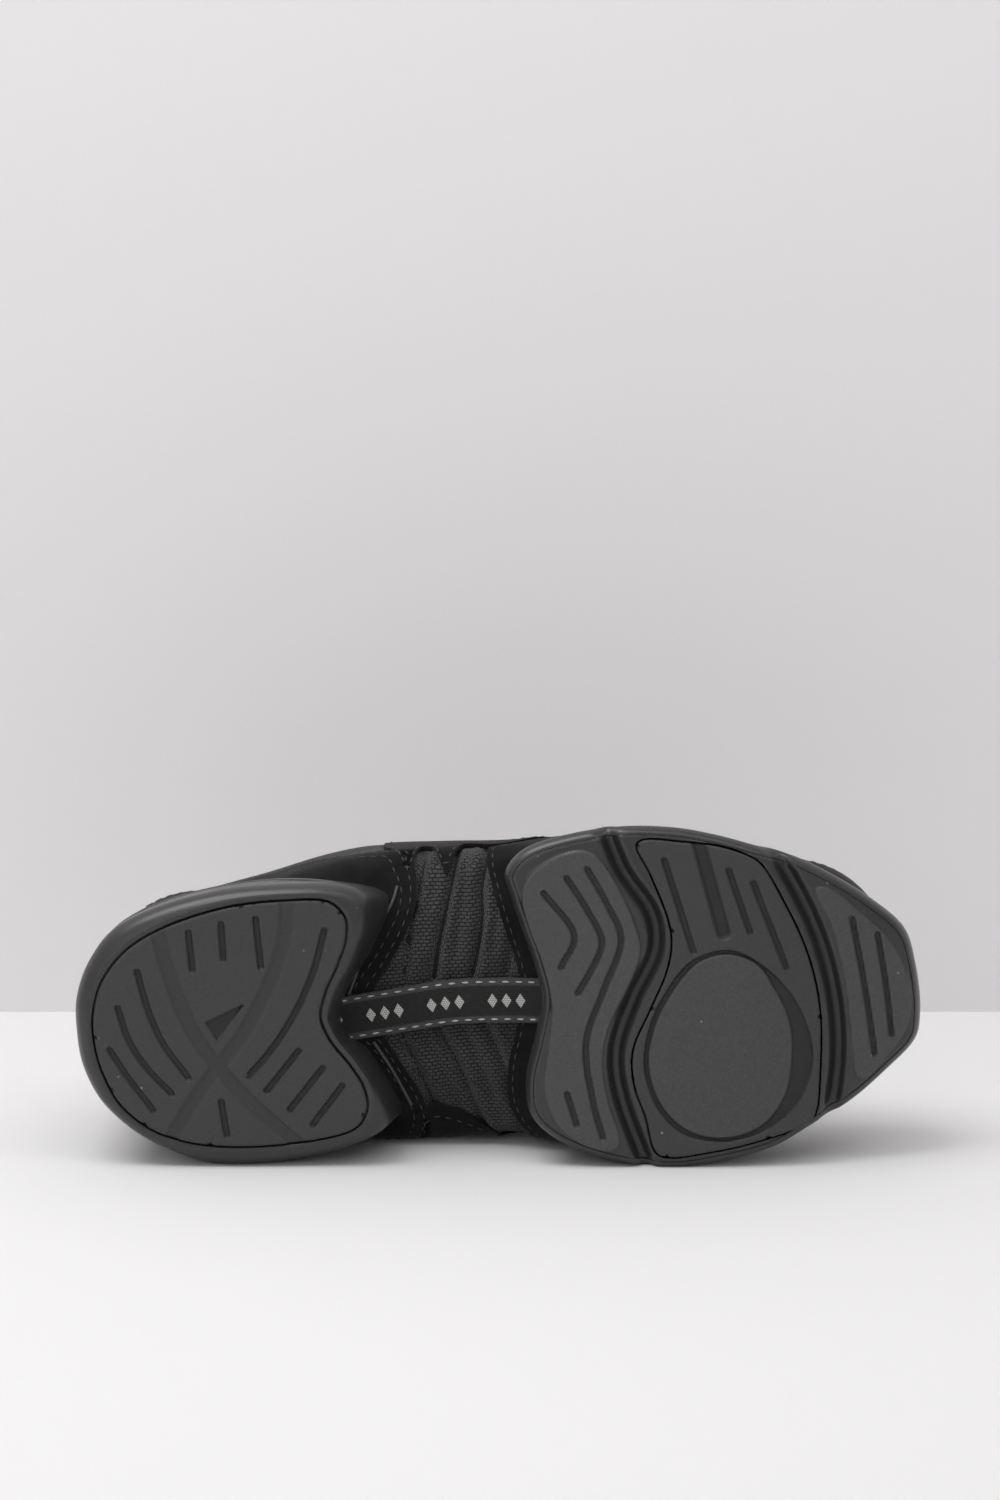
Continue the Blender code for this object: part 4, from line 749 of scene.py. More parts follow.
CRESCENT_DEPTH = 1.1 * MM
FORE_TREAD_SLOTS = (
    ((0.707, -0.405), (0.735, -0.137)),
    ((0.782, -0.364), (0.803, -0.183)),
    ((0.810, -0.323), (0.844, -0.071)),
)
FORE_TREAD_CHANNEL = ((0.744, -0.500), (0.772, -0.185))
FORE_PITS = (0, 10, 36, 51, 60, 80, 88)
PIVOT_DISC = (
    (0.772, -0.123), (0.808, -0.091), (0.829, -0.010), (0.844, 0.085), (0.845, 0.190),
    (0.834, 0.300), (0.806, 0.380), (0.762, 0.411), (0.718, 0.385), (0.688, 0.310),
    (0.674, 0.190), (0.684, 0.076), (0.705, -0.015), (0.737, -0.100),
)
PIVOT_HOLLOW = (
    (0.778, -0.134), (0.818, -0.078), (0.852, 0.025), (0.869, 0.150), (0.866, 0.245),
    (0.847, 0.330), (0.812, 0.393), (0.762, 0.421), (0.713, 0.395), (0.683, 0.316),
    (0.669, 0.190), (0.679, 0.070), (0.700, -0.024), (0.733, -0.110),
)

places, faces = grid_over(fore_tread_line, TREAD_GRID)
places, faces = trimmed(places, faces, lambda p: from_outline(p, fore_tread_line))
disc_line = curve(PIVOT_DISC, FORE, 6, closed=True)
disc = from_outline(places, disc_line)
hollow = from_outline(places, curve(PIVOT_HOLLOW, FORE, 6, closed=True))
height = CRESCENT_DEPTH * np.minimum(within(hollow, 0.6 * MM), within(-disc, 0.7 * MM))
for slot in FORE_TREAD_SLOTS:
    height = carved(places, height, np.array(slot) * FORE, SLOT_WIDTH, SLOT_DEPTH, SLOT_SOFT)
channel = np.array(FORE_TREAD_CHANNEL) * FORE
height = carved(places, height, channel, 2.2 * SLOT_WIDTH, 1.3 * SLOT_DEPTH, 1.6 * MM)
height = pitted(places, height, fore_tread_line[list(FORE_PITS)])
# Painted shade: the deeper a place lies in the crescent hollow, a slot, the channel or a pit, the darker its
# colour is painted.
painted_shade = (height / SLOT_DEPTH) ** 2
places[:, 2] = height + eased(places, fore_tread_line) + toe_lift(places[:, 0])
centres = places[faces].mean(axis=1)
on_disc = from_outline(centres, disc_line) < 0
count = len(faces)
places, faces = skirted(places, faces, TREAD_THICKNESS)
indexes = [int(value) for value in on_disc] + [0] * (len(faces) - count)
# The plate's skirt walls, in the gap round it, are painted in full shade.
painted_shade = np.append(painted_shade, np.ones(len(places) - len(painted_shade)))
pivot_rubber = rubber("moulded_rubber_pivot", "#373738", "#424243", 0.54, 0.9 * MM, 0.03 * MM, 0.8)
forefoot_tread = drawn("forefoot_tread_visual", places, faces, [grip_rubber, pivot_rubber], indexes=indexes,
                       painted_shade=painted_shade)
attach(forefoot_tread, "root")
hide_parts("forefoot_tread")


# Upper: a knitted mesh shell with its lining behind it, pulled over the last and closed
# under the two soles. The knit gathers into soft pleats across the arch, and the collar is
# padded and rolls inwards over its foam.

SEAT_WIDTH = 78.0 * MM
WAIST_WIDTH = 83.0 * MM
BALL_WIDTH = 90.0 * MM
SEAT_HEIGHT = 15.0 * MM
ARCH_HEIGHT = 21.5 * MM
BALL_HEIGHT = 9.0 * MM
INSTEP_HEIGHT = 90.0 * MM
TOE_BOX_HEIGHT = 44.0 * MM
COLLAR_HEIGHT = 64.0 * MM
BACK_HEIGHT = 82.0 * MM
UPPER_WALL = 1.6 * MM
THROAT_WIDTH = 20.0 * MM
THROAT_TOE_END = 0.70 * SOLE_LENGTH
THROAT_TOP = 0.43 * SOLE_LENGTH
THROAT_LOW = 0.45 * INSTEP_HEIGHT
EYELET_PAIRS = 5
EYELET_HOLE = 4.0 * MM
EYELET_INSET = 7.0 * MM
COLLAR_PAD = 4.6 * MM
COLLAR_ROLL = 3.0 * MM
COLLAR_ROLL_END = 0.44 * SOLE_LENGTH
COLLAR_PAD_DEEP = 24.0 * MM
COLLAR_PAD_END = 0.46 * SOLE_LENGTH
COLLAR_SWELL_MIDDLE = 9.0 * MM
COLLAR_SWELL_END = 0.40 * SOLE_LENGTH
SPINE_STEPS = 28
ARCH_SPANS = (2, 3, 4, 5)
HEEL_FAN = 26
TOE_FAN = 30
AROUND = 92

Station = namedtuple("Station", "at lateral medial bottom widest top edge crown")

# Cross sections of the last: share of the length, a width, its shares to the lateral and the medial
# side, the bottom's, widest line's and top's heights, and how square it is below and above
SECTIONS = (
    (0.145, SEAT_WIDTH, 0.400, 0.425, 1.00 * SEAT_HEIGHT, 0.44 * COLLAR_HEIGHT,
     1.16 * INSTEP_HEIGHT, 4.2, 2.2),
    (0.220, SEAT_WIDTH, 0.440, 0.465, 1.06 * SEAT_HEIGHT, 0.56 * COLLAR_HEIGHT,
     1.22 * INSTEP_HEIGHT, 4.2, 2.4),
    (0.300, WAIST_WIDTH, 0.466, 0.478, 0.92 * ARCH_HEIGHT, 0.44 * INSTEP_HEIGHT,
     1.22 * INSTEP_HEIGHT, 3.2, 2.5),
    (0.370, WAIST_WIDTH, 0.493, 0.502, 1.00 * ARCH_HEIGHT, 0.43 * INSTEP_HEIGHT,
     1.13 * INSTEP_HEIGHT, 2.6, 2.5),
    (0.450, WAIST_WIDTH, 0.500, 0.502, 1.00 * ARCH_HEIGHT, 0.42 * INSTEP_HEIGHT,
     1.00 * INSTEP_HEIGHT, 2.5, 2.3),
    (0.520, WAIST_WIDTH, 0.500, 0.510, 0.84 * ARCH_HEIGHT, 0.39 * INSTEP_HEIGHT,
     0.88 * INSTEP_HEIGHT, 2.8, 2.3),
    (0.600, BALL_WIDTH, 0.480, 0.495, 1.25 * BALL_HEIGHT, 0.33 * INSTEP_HEIGHT,
     0.75 * INSTEP_HEIGHT, 3.8, 2.3),
    (0.680, BALL_WIDTH, 0.492, 0.508, 1.00 * BALL_HEIGHT, 0.28 * INSTEP_HEIGHT,
     0.64 * INSTEP_HEIGHT, 4.5, 2.4),
    (0.760, BALL_WIDTH, 0.440, 0.490, 0.94 * BALL_HEIGHT, 0.56 * TOE_BOX_HEIGHT,
     1.14 * TOE_BOX_HEIGHT, 4.5, 2.5),
    (0.830, BALL_WIDTH, 0.365, 0.435, 0.94 * BALL_HEIGHT, 0.52 * TOE_BOX_HEIGHT,
     1.00 * TOE_BOX_HEIGHT, 4.5, 2.6),
)
STATIONS = [Station(at * SOLE_LENGTH, lateral * width, medial * width, *rest)
            for at, width, lateral, medial, *rest in SECTIONS]
HEEL_REACH = 0.127 * SOLE_LENGTH
TOE_REACH = 0.138 * SOLE_LENGTH

COLLAR_LINE = (
    (-0.060, BACK_HEIGHT), (0.010, BACK_HEIGHT), (0.060, 0.96 * BACK_HEIGHT),
    (0.130, 1.08 * COLLAR_HEIGHT), (0.220, COLLAR_HEIGHT), (0.310, 1.06 * COLLAR_HEIGHT),
    (0.390, 1.26 * COLLAR_HEIGHT), (0.440, 1.02 * INSTEP_HEIGHT),
)
# Pleats across the arch, in shares of the length and the waist's width, each with its depth
PLEATS = (
    (((0.424, -0.500), (0.411, -0.374), (0.401, -0.281), (0.396, -0.180), (0.389, -0.080)), 1.7),
    (((0.440, -0.520), (0.432, -0.400), (0.417, -0.300), (0.409, -0.200)), 0.8),
    (((0.462, -0.500), (0.444, -0.314), (0.434, -0.209), (0.426, -0.090)), 2.0),
    (((0.478, -0.520), (0.468, -0.400), (0.461, -0.300), (0.452, -0.170)), 0.9),
    (((0.499, -0.500), (0.490, -0.400), (0.488, -0.292), (0.479, -0.160), (0.472, -0.090)), 1.9),
    (((0.512, -0.400), (0.506, -0.290), (0.497, -0.180)), 0.7),
    (((0.535, -0.500), (0.525, -0.253), (0.515, -0.100)), 1.2),
    (((0.381, 0.099), (0.404, 0.285), (0.428, 0.500)), 1.7),
    (((0.404, 0.090), (0.424, 0.220), (0.446, 0.380), (0.456, 0.480)), 0.8),
    (((0.425, 0.086), (0.450, 0.257), (0.476, 0.500)), 1.9),
    (((0.455, 0.080), (0.470, 0.200), (0.488, 0.360)), 0.8),
    (((0.482, 0.068), (0.492, 0.147), (0.508, 0.300), (0.522, 0.480)), 1.5),
    (((0.352, 0.150), (0.372, 0.300), (0.392, 0.500)), 1.1),
    (((0.378, -0.335), (0.390, -0.318), (0.408, -0.330)), 0.9),
    (((0.362, -0.245), (0.378, -0.225), (0.398, -0.230)), 0.9),
    (((0.350, -0.160), (0.364, -0.135), (0.386, -0.125)), 0.8),
)
PLEAT_HALF = 1.4 * MM
PLEAT_RIDGE = 3.0 * MM
RIDGE_AHEAD = 0.45
RIDGE_BEHIND = 0.15
# Soft creases over the vamp, where the ball of the foot bends it
VAMP_CREASES = (
    (((0.700, -0.420), (0.728, -0.200), (0.735, 0.060), (0.715, 0.400)), 0.7),
    (((0.745, -0.380), (0.768, -0.160), (0.772, 0.100), (0.755, 0.380)), 0.6),
)


def ribs(rows):
    """Half sections around the form: each rib's station and its outer end in plan."""
    back, front = rows[0], rows[-1]
    result = []
    for k in range(1, HEEL_FAN):
        a = math.pi * (k / HEEL_FAN - 0.5)
        width = back.medial if a < 0 else back.lateral
        result.append((back, (back.at - HEEL_REACH * math.cos(a) ** 0.9, -width * math.sin(a))))
    result += [(row, (row.at, -row.lateral)) for row in rows]
    for k in range(1, TOE_FAN):
        a = math.pi * (k / TOE_FAN - 0.5)
        width = front.lateral if a < 0 else front.medial
        side = math.copysign(abs(math.sin(a)) ** 0.95, a)
        result.append((front, (front.at + TOE_REACH * math.cos(a) ** 0.85, width * side)))
    return result + [(row, (row.at, row.medial)) for row in reversed(rows)]


def reached(line):
    """How far along a line each of its places lies."""
    return np.concatenate([[0.0], np.cumsum(np.linalg.norm(np.diff(line, axis=0), axis=1))])


def rib_profile(station, end):
    """Evenly spaced places of one half section, from the bottom line over the side to the top."""
    a = np.linspace(-math.pi / 2, math.pi / 2, 361)
    low = a < 0
    power = np.where(low, station.edge, station.crown)
    share = np.maximum(np.cos(a), 0.0) ** (2.0 / power)
    rise = np.abs(np.sin(a)) ** (2.0 / power)
    x = station.at + share * (end[0] - station.at)
    z = station.widest + rise * (np.where(low, station.bottom, station.top) - station.widest)
    line = np.column_stack([x, share * end[1], z + toe_lift(x)])
    gone = reached(line)
    even = np.linspace(0.0, gone[-1], AROUND)
    return np.column_stack([np.interp(even, gone, line[:, k]) for k in range(3)])


def last_sheet():
    """The last's surface as places with their outward directions, and its triangles."""
    rows = [Station(*row) for k, row in enumerate(smooth(STATIONS, SPINE_STEPS, closed=False))
            if k % 2 == 0 or k // SPINE_STEPS in ARCH_SPANS]
    grid = np.array([rib_profile(*rib) for rib in ribs(rows)])
    count = len(grid)
    places = grid.reshape(-1, 3)
    i, j = (part.ravel() for part in np.meshgrid(np.arange(count), np.arange(AROUND - 1), indexing="ij"))
    a, b = i * AROUND + j, ((i + 1) % count) * AROUND + j
    faces = np.vstack([np.column_stack([a, b, b + 1]), np.column_stack([a, b + 1, a + 1])])
    _, first, same = np.unique(np.round(places / (0.01 * MM)).astype(int), axis=0,
                               return_index=True, return_inverse=True)
    places, faces = places[first], same.reshape(-1)[faces]
    faces = faces[(faces != np.roll(faces, 1, axis=1)).all(axis=1)]
    corner = places[faces]
    normal = np.cross(corner[:, 1] - corner[:, 0], corner[:, 2] - corner[:, 0])
    if np.sum(normal * (corner.mean(axis=1) - places.mean(axis=0))) < 0:
        normal = -normal
        faces = faces[:, ::-1]
    out = np.zeros_like(places)
    for k in range(3):
        np.add.at(out, faces[:, k], normal)
    out /= np.linalg.norm(out, axis=1)[:, None]
    return np.hstack([places, out]), faces


def shell(name, sheet, faces, outer, inner, materials):
    """A closed body between two offsets of a sheet, its outer, inner and edge faces."""
    count = len(sheet)
    places = np.vstack([sheet[:, :3] + sheet[:, 3:] * np.broadcast_to(outer, count)[:, None],
                        sheet[:, :3] + sheet[:, 3:] * np.broadcast_to(inner, count)[:, None]])
    walls = [(b, a, a + count, b + count) for a, b in rim_of(faces)]
    every = [tuple(face) for face in faces] + [tuple(face) for face in faces[:, ::-1] + count] + walls
    indexes = [0] * len(faces) + [len(materials) - 1] * len(faces) + [0] * len(walls)
    return drawn(name, places, every, materials, indexes=indexes)


def above_line(line, size_z, lifted=False):
    """Measure of places: how far they are above a side-view line."""
    table = curve(line, (SOLE_LENGTH, size_z), 6)

    def measure(p):
        height = np.interp(p[:, 0], table[:, 0], table[:, 1])
        return p[:, 2] - height - (toe_lift(p[:, 0]) if lifted else 0.0)
    return measure


def throat_outline():
    """The throat's opening in plan, round at its toe end."""
    half = THROAT_WIDTH / 2
    back = THROAT_TOP - 3 * half
    turns = [math.pi * k / 16 for k in range(1, 16)]
    outline = [(back, half * 1.3), (THROAT_TOE_END, half)]
    outline += [(THROAT_TOE_END + half * math.sin(a), half * math.cos(a)) for a in turns]
    return outline + [(THROAT_TOE_END, -half), (back, -half * 1.3)]


def eyelet_places():
    """Plan places of the eyelet pairs, from the toe end of the throat up."""
    first = THROAT_TOE_END - 12.0 * MM
    last = THROAT_TOP + 6.0 * MM
    half = THROAT_WIDTH / 2 + EYELET_INSET
    return [(first + (last - first) * k / (EYELET_PAIRS - 1), half) for k in range(EYELET_PAIRS)]


def in_throat(p):
    """Measure of places: how far they are inside the throat's opening."""
    inside = -from_outline(p, throat_outline())
    return np.where(p[:, 2] > THROAT_LOW, inside, -1.0)


def in_eyelets(p):
    """Measure of places: how far they are inside an eyelet's hole."""
    result = np.full(len(p), -1.0)
    for x, half in eyelet_places():
        for side in (-half, half):
            reach = EYELET_HOLE / 2 - np.hypot(p[:, 0] - x, p[:, 1] - side)
            result = np.maximum(result, np.where(p[:, 2] > THROAT_LOW, reach, -1.0))
    return result


def creased(p, creases, width, low_side):
    """How far soft troughs and the ridges beside them move the cloth at its places."""
    move = np.zeros(len(p))
    for line, depth in creases:
        table = curve(line, (SOLE_LENGTH, width), 10)
        away = from_line(p, table)
        table = table[np.argsort(table[:, 1])]
        ahead = p[:, 0] > np.interp(p[:, 1], table[:, 1], table[:, 0])
        reach = depth * MM
        move -= reach * np.exp(-(away / PLEAT_HALF) ** 2)
        ridge = np.exp(-((away - PLEAT_RIDGE) / (1.6 * PLEAT_HALF)) ** 2)
        move += reach * np.where(ahead, RIDGE_AHEAD, RIDGE_BEHIND) * ridge
    return np.where(low_side(p), move, 0.0)


def cloth_map(tree):
    """Places on a cloth in millimetres along and across it."""
    laid = add(tree, "TexCoord").outputs["UV"]
    return add(tree, "Mapping", {"Vector": laid, "Scale": (1 / MM, 1 / MM, 1.0)}).outputs["Vector"]


def knit(name, dark, light, stitch, course, depth, roughness):
    """Polyester knit: rows of short rounded stitches, darker between them, dull with fine lint."""
    made, tree, shader = finish_of(name, {"Roughness": roughness, "Specular IOR Level": 0.3,
                                          "Sheen Weight": 0.12, "Sheen Roughness": 0.5})
    where = cloth_map(tree)
    wander = add(tree, "TexNoise", {"Vector": where, "Scale": 0.35, "Detail": 2.0})
    shift = add(tree, "VectorMath", {0: wander.outputs["Color"], "Scale": 0.7}, operation="SCALE")
    loose = add(tree, "VectorMath", {0: where, 1: shift.outputs["Vector"]}, operation="ADD")
    rows = add(tree, "TexBrick", {"Vector": loose.outputs["Vector"], "Scale": 1.0, "Brick Width": stitch,
                                  "Row Height": course, "Mortar Size": 0.30 * course, "Mortar Smooth": 1.0})
    between_rows = rows.outputs["Fac"]
    tone = mixed(tree, between_rows, light, dark)
    worn = mixed(tree, 0.5, tone, noise(tree, where, 0.09, 3.0), "OVERLAY")
    tree.links.new(worn, shader.inputs["Base Color"])
    raised = maths(tree, "SUBTRACT", 1.0, between_rows)
    lint = maths(tree, "MULTIPLY_ADD", noise(tree, where, 3.2, 3.0), 0.3, raised)
    bumped(tree, shader, lint, depth)
    return made


def under_shoe(p):
    """Places below the widest line of the last."""
    return p[:, 2] < np.interp(p[:, 0], [row.at for row in STATIONS], [row.widest for row in STATIONS])


last, last_faces = last_sheet()
over_collar = above_line(COLLAR_LINE, 1.0)
sheet, faces = trimmed(last, last_faces, over_collar, in_throat, in_eyelets)
relief = creased(sheet, PLEATS, WAIST_WIDTH, under_shoe)
relief += creased(sheet, VAMP_CREASES, BALL_WIDTH, lambda p: p[:, 2] > 0.3 * INSTEP_HEIGHT)
deep = np.clip(-over_collar(sheet), 0.0, 30.0 * MM)
rolled = np.clip(deep / COLLAR_ROLL, 0.0, 1.0)
roll = COLLAR_ROLL * (1 - np.sqrt(1 - (1 - rolled) ** 2)) * (sheet[:, 0] < COLLAR_ROLL_END)
pad = COLLAR_PAD * np.sqrt(rolled) * np.clip(1 - (deep / COLLAR_PAD_DEEP) ** 2, 0.0, 1.0) ** 0.7
pad = np.where(sheet[:, 0] < COLLAR_PAD_END, pad, 0.0)
swell = 0.25 * COLLAR_PAD * within(np.abs(deep - COLLAR_SWELL_MIDDLE) - 4.0 * MM, 9.0 * MM)
swell = swell * (sheet[:, 0] < COLLAR_SWELL_END)
arch_knit = knit("polyester_rib_knit", "#020202", "#3d3d3f", 1.8, 1.1, 0.4 * MM, 0.85)
lining_cloth = knit("brushed_lining", "#0c0c0d", "#1a1a1b", 0.7, 0.6, 0.10 * MM, 0.95)
upper = shell("upper_visual", sheet, faces, UPPER_WALL + relief - 0.6 * roll + swell, 0.2 * MM - pad,
              [arch_knit, lining_cloth])
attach(upper, "root")
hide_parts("upper")


# Suede overlays, cut from one brushed black hide and sewn over the knit: a counter round the
# heel, a guard round the toe and ball, and the eyestay, whose wavy lower edge reaches the waist.

OVERLAY_THICKNESS = 1.2 * MM
GAP = 0.3 * MM
TAPE_WIDTH = 13.5 * MM
OVERLAY_LOW = UPPER_WALL + GAP
OVERLAY_TOP = OVERLAY_LOW + OVERLAY_THICKNESS

COUNTER_LINE = (
    (-0.060, 0.62), (0.040, 0.64), (0.140, 0.56), (0.220, 0.50), (0.290, 0.50), (0.345, 0.44),
    (0.420, 0.40),
)
COUNTER_LEAN = 0.5
EYESTAY_BACK = 0.372 * SOLE_LENGTH
EYESTAY_FRONT = 0.745 * SOLE_LENGTH
EYESTAY_LATERAL = (
    (0.372, 0.52), (0.384, 0.43), (0.394, 0.35), (0.402, 0.31), (0.410, 0.36), (0.420, 0.43),
    (0.432, 0.41), (0.441, 0.34), (0.449, 0.31), (0.459, 0.36), (0.474, 0.43), (0.505, 0.39),
    (0.545, 0.42), (0.590, 0.54), (0.650, 0.56), (0.705, 0.50), (0.745, 0.60),
)
EYESTAY_MEDIAL = (
    (0.372, 0.60), (0.389, 0.44), (0.398, 0.31), (0.412, 0.285), (0.440, 0.29), (0.469, 0.305),
    (0.488, 0.33), (0.500, 0.39), (0.545, 0.42), (0.590, 0.54), (0.650, 0.56), (0.705, 0.50),
    (0.745, 0.60),
)
GUARD_LINE = ((0.500, 0.36), (0.560, 0.38), (0.640, 0.34), (0.740, 0.31), (0.860, 0.33), (1.010, 0.36))


def suede(name, dark, light):
    """Brushed split leather: a short nap that lies in patches, lighter where it is stroked up."""
    made, tree, shader = finish_of(name, {"Roughness": 0.95, "Specular IOR Level": 0.2,
                                          "Sheen Weight": 0.10, "Sheen Roughness": 0.35})
    where = add(tree, "TexCoord").outputs["Object"]
    nap = noise(tree, where, 1.0 / (0.5 * MM), 4.0, rough=0.7)
    patch = noise(tree, where, 1.0 / (14.0 * MM), 4.0, rough=0.6, bend=0.6)
    stroke = add(tree, "MapRange", {"Value": patch, "From Min": 0.35, "From Max": 0.68}).outputs["Result"]
    fuzz = mixed(tree, 0.45, mixed(tree, stroke, dark, light), nap, "OVERLAY")
    tree.links.new(fuzz, shader.inputs["Base Color"])
    bumped(tree, shader, nap, 0.08 * MM, strength=0.8)
    return made


def along_sides(lateral, medial, size_z, lifted=False):
    """Measure of places against one side-view line on each side of the shoe."""
    one, other = above_line(lateral, size_z, lifted), above_line(medial, size_z, lifted)
    return lambda p: np.where(p[:, 1] < 0, one(p), other(p))


def overlay(name, *cuts):
    """A suede piece on the last, cut to its outline."""
    sheet, faces = trimmed(last, last_faces, *cuts)
    return shell(name, sheet, faces, OVERLAY_TOP, OVERLAY_LOW, [black_suede])


black_suede = suede("black_suede", "#0b0b0b", "#19191a")
margin = TAPE_WIDTH / 3
over_counter = above_line(COUNTER_LINE, INSTEP_HEIGHT)
counter_plan = grown(heel_rim, margin)
below_eyestay = along_sides(EYESTAY_LATERAL, EYESTAY_MEDIAL, INSTEP_HEIGHT, lifted=True)
over_guard = above_line(GUARD_LINE, INSTEP_HEIGHT, lifted=True)
guard_plan = grown(fore_wall, margin)


def past_counter(p):
    """Measure of places: how far they are in front of the counter, which leans forward with height."""
    leaned = COUNTER_LEAN * np.maximum(p[:, 2] - 0.22 * INSTEP_HEIGHT, 0.0)
    return from_outline(p, counter_plan) - leaned


def past_guard(p):
    """Measure of places: how far they are out of the toe guard's plan."""
    return from_outline(p, guard_plan)


def past_eyestay(p):
    """Measure of places: how far they are behind or in front of the eyestay."""
    return np.maximum(EYESTAY_BACK - p[:, 0], p[:, 0] - EYESTAY_FRONT)


counter = overlay("heel_counter_visual", past_counter, over_counter)
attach(counter, "root")
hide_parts("heel_counter")

eyestay = overlay("eyestay_visual", lambda p: -below_eyestay(p), over_collar, in_throat, in_eyelets,
                  past_eyestay)
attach(eyestay, "root")
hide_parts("eyestay")

guard = overlay("toe_guard_visual", over_guard, past_guard)
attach(guard, "root")
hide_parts("toe_guard")


# Arch tape: black polyester webbing with grey borders that bridges the arch from the heel
# unit to the forefoot unit, sewn down along both borders.

TAPE_THICKNESS = 1.0 * MM
TAPE_LOW = OVERLAY_TOP + GAP
TAPE_LINE = ((0.280, 0.0434), (0.383, 0.0157), (0.444, -0.0012), (0.505, -0.0036), (0.600, 0.0024))
TAPE_ACROSS = 18
TAPE_SWELL = 0.25 * MM
BELOW_SHOE = -50.0 * MM
SELVEDGE_START = 0.34
MOTIF_GROUP = 18.4
MOTIF_SHIFT = 3.6
MOTIF_PITCH = 4.2
MOTIF_WIDTH = 3.0
MOTIF_HEIGHT = 4.4


def cast(tree, start, way):
    """The first place of a surface along a way, and its direction outwards."""
    hit = tree.ray_cast(Vector(start), Vector(way))
    out = hit[1]
    return np.array(hit[0]), np.array(-out if out.dot(Vector(way)) > 0 else out)


def surface_at(offset):
    """The last's surface moved outwards by an offset, to find places on."""
    places = last[:, :3] + last[:, 3:] * offset
    return BVHTree.FromPolygons(places.tolist(), last_faces.tolist())


def from_below(x, y):
    """The place of the tape's bed over a place in plan, and its direction outwards."""
    return cast(tape_bed, (x, y, BELOW_SHOE), (0.0, 0.0, 1.0))


tape_bed = surface_at(TAPE_LOW)
centre = curve(TAPE_LINE, (SOLE_LENGTH, WAIST_WIDTH), 40)
along = np.gradient(centre, axis=0)
along /= np.linalg.norm(along, axis=1)[:, None]
places, uv = [], []
for (x, y), (dx, dy), far in zip(centre, along, reached(centre)):
    for k in range(TAPE_ACROSS + 1):
        side = TAPE_WIDTH * (k / TAPE_ACROSS - 0.5)
        spot, out = from_below(x - dy * side, y + dx * side)
        swell = TAPE_SWELL * math.cos(math.pi * side / TAPE_WIDTH)
        places.append(spot + out * swell)
        uv.append((far, side))
count = TAPE_ACROSS + 1
faces = np.array([(i * count + j, i * count + j + 1, (i + 1) * count + j + 1, (i + 1) * count + j)
                  for i in range(len(centre) - 1) for j in range(TAPE_ACROSS)])
places = np.array(places)
lower = places + np.array([0.0, 0.0, -1.0]) * TAPE_THICKNESS
total = len(places)
walls = []
for i in range(len(centre) - 1):
    for j, flip in ((0, False), (TAPE_ACROSS, True)):
        a, b = i * count + j, (i + 1) * count + j
        walls.append((a, b, b + total, a + total) if flip else (b, a, a + total, b + total))
every = [tuple(face) for face in faces] + [tuple(face) for face in faces[:, ::-1] + total] + walls


def webbing(name):
    """Woven polyester tape: a black field with a woven row of plain lozenges, grey selvedges."""
    made, tree, shader = finish_of(name, {"Roughness": 0.75})
    where = cloth_map(tree)
    parts = add(tree, "SeparateXYZ", {0: where})
    weave = add(tree, "TexBrick", {"Vector": where, "Scale": 1.0, "Brick Width": 0.7, "Row Height": 0.6,
                                   "Mortar Size": 0.16, "Mortar Smooth": 1.0}).outputs["Fac"]
    from_middle = maths(tree, "ABSOLUTE", parts.outputs["Y"])
    selvedge = maths(tree, "GREATER_THAN", from_middle, SELVEDGE_START * TAPE_WIDTH / MM)
    field = mixed(tree, weave, "#161617", "#070707")
    border = mixed(tree, weave, "#4a4a4b", "#202021")
    cloth = mixed(tree, selvedge, field, border)
    in_group = maths(tree, "MODULO", maths(tree, "ADD", parts.outputs["X"], MOTIF_SHIFT), MOTIF_GROUP)
    shown = maths(tree, "LESS_THAN", in_group, 3 * MOTIF_PITCH)
    in_one = maths(tree, "MODULO", in_group, MOTIF_PITCH)
    off = maths(tree, "ABSOLUTE", maths(tree, "SUBTRACT", in_one, MOTIF_PITCH / 2))
    wide = maths(tree, "DIVIDE", off, MOTIF_WIDTH / 2)
    tall = maths(tree, "MULTIPLY_ADD", from_middle, 1 / (MOTIF_HEIGHT / 2), wide)
    lozenge = maths(tree, "MULTIPLY", maths(tree, "LESS_THAN", tall, 1.0), shown)
    figured = mixed(tree, lozenge, cloth, mixed(tree, weave, "#c9c9c5", "#6d6d6b"))
    tree.links.new(figured, shader.inputs["Base Color"])
    bumped(tree, shader, weave, 0.12 * MM, invert=True)
    return made


tape_cloth = webbing("woven_polyester_tape")
tape = drawn("arch_tape_visual", np.vstack([places, lower]), every, [tape_cloth], uv=uv + uv)
outwards(tape)
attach(tape, "root")
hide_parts("arch_tape")


# Tongue: a soft padded strip of the same knit under the throat, its top standing a little
# out of the collar, with a bound edge.

TONGUE_WIDTH = 50.0 * MM
TONGUE_THICKNESS = 3.5 * MM
TONGUE_RISE = 22.0 * MM
TONGUE_CORNER = 6.0 * MM
TONGUE_EDGE = 3.0 * MM

half = TONGUE_WIDTH / 2
tongue_top = THROAT_TOP - TONGUE_RISE
tongue_toe = THROAT_TOE_END + 12.0 * MM
tongue_side = [(tongue_top, 0.8 * half), (tongue_top + TONGUE_CORNER, half), (tongue_toe, 0.8 * half)]
tongue_line = smooth([(x, -y) for x, y in tongue_side] + [(tongue_toe + TONGUE_CORNER, 0.0)]
                     + tongue_side[::-1] + [(tongue_top - TONGUE_CORNER / 2, 0.0)], 8)


def off_tongue(p):
    """Measure of places: how far they are out of the tongue's plan."""
    return np.where(p[:, 2] > 0.42 * INSTEP_HEIGHT, from_outline(p, tongue_line), 1.0)


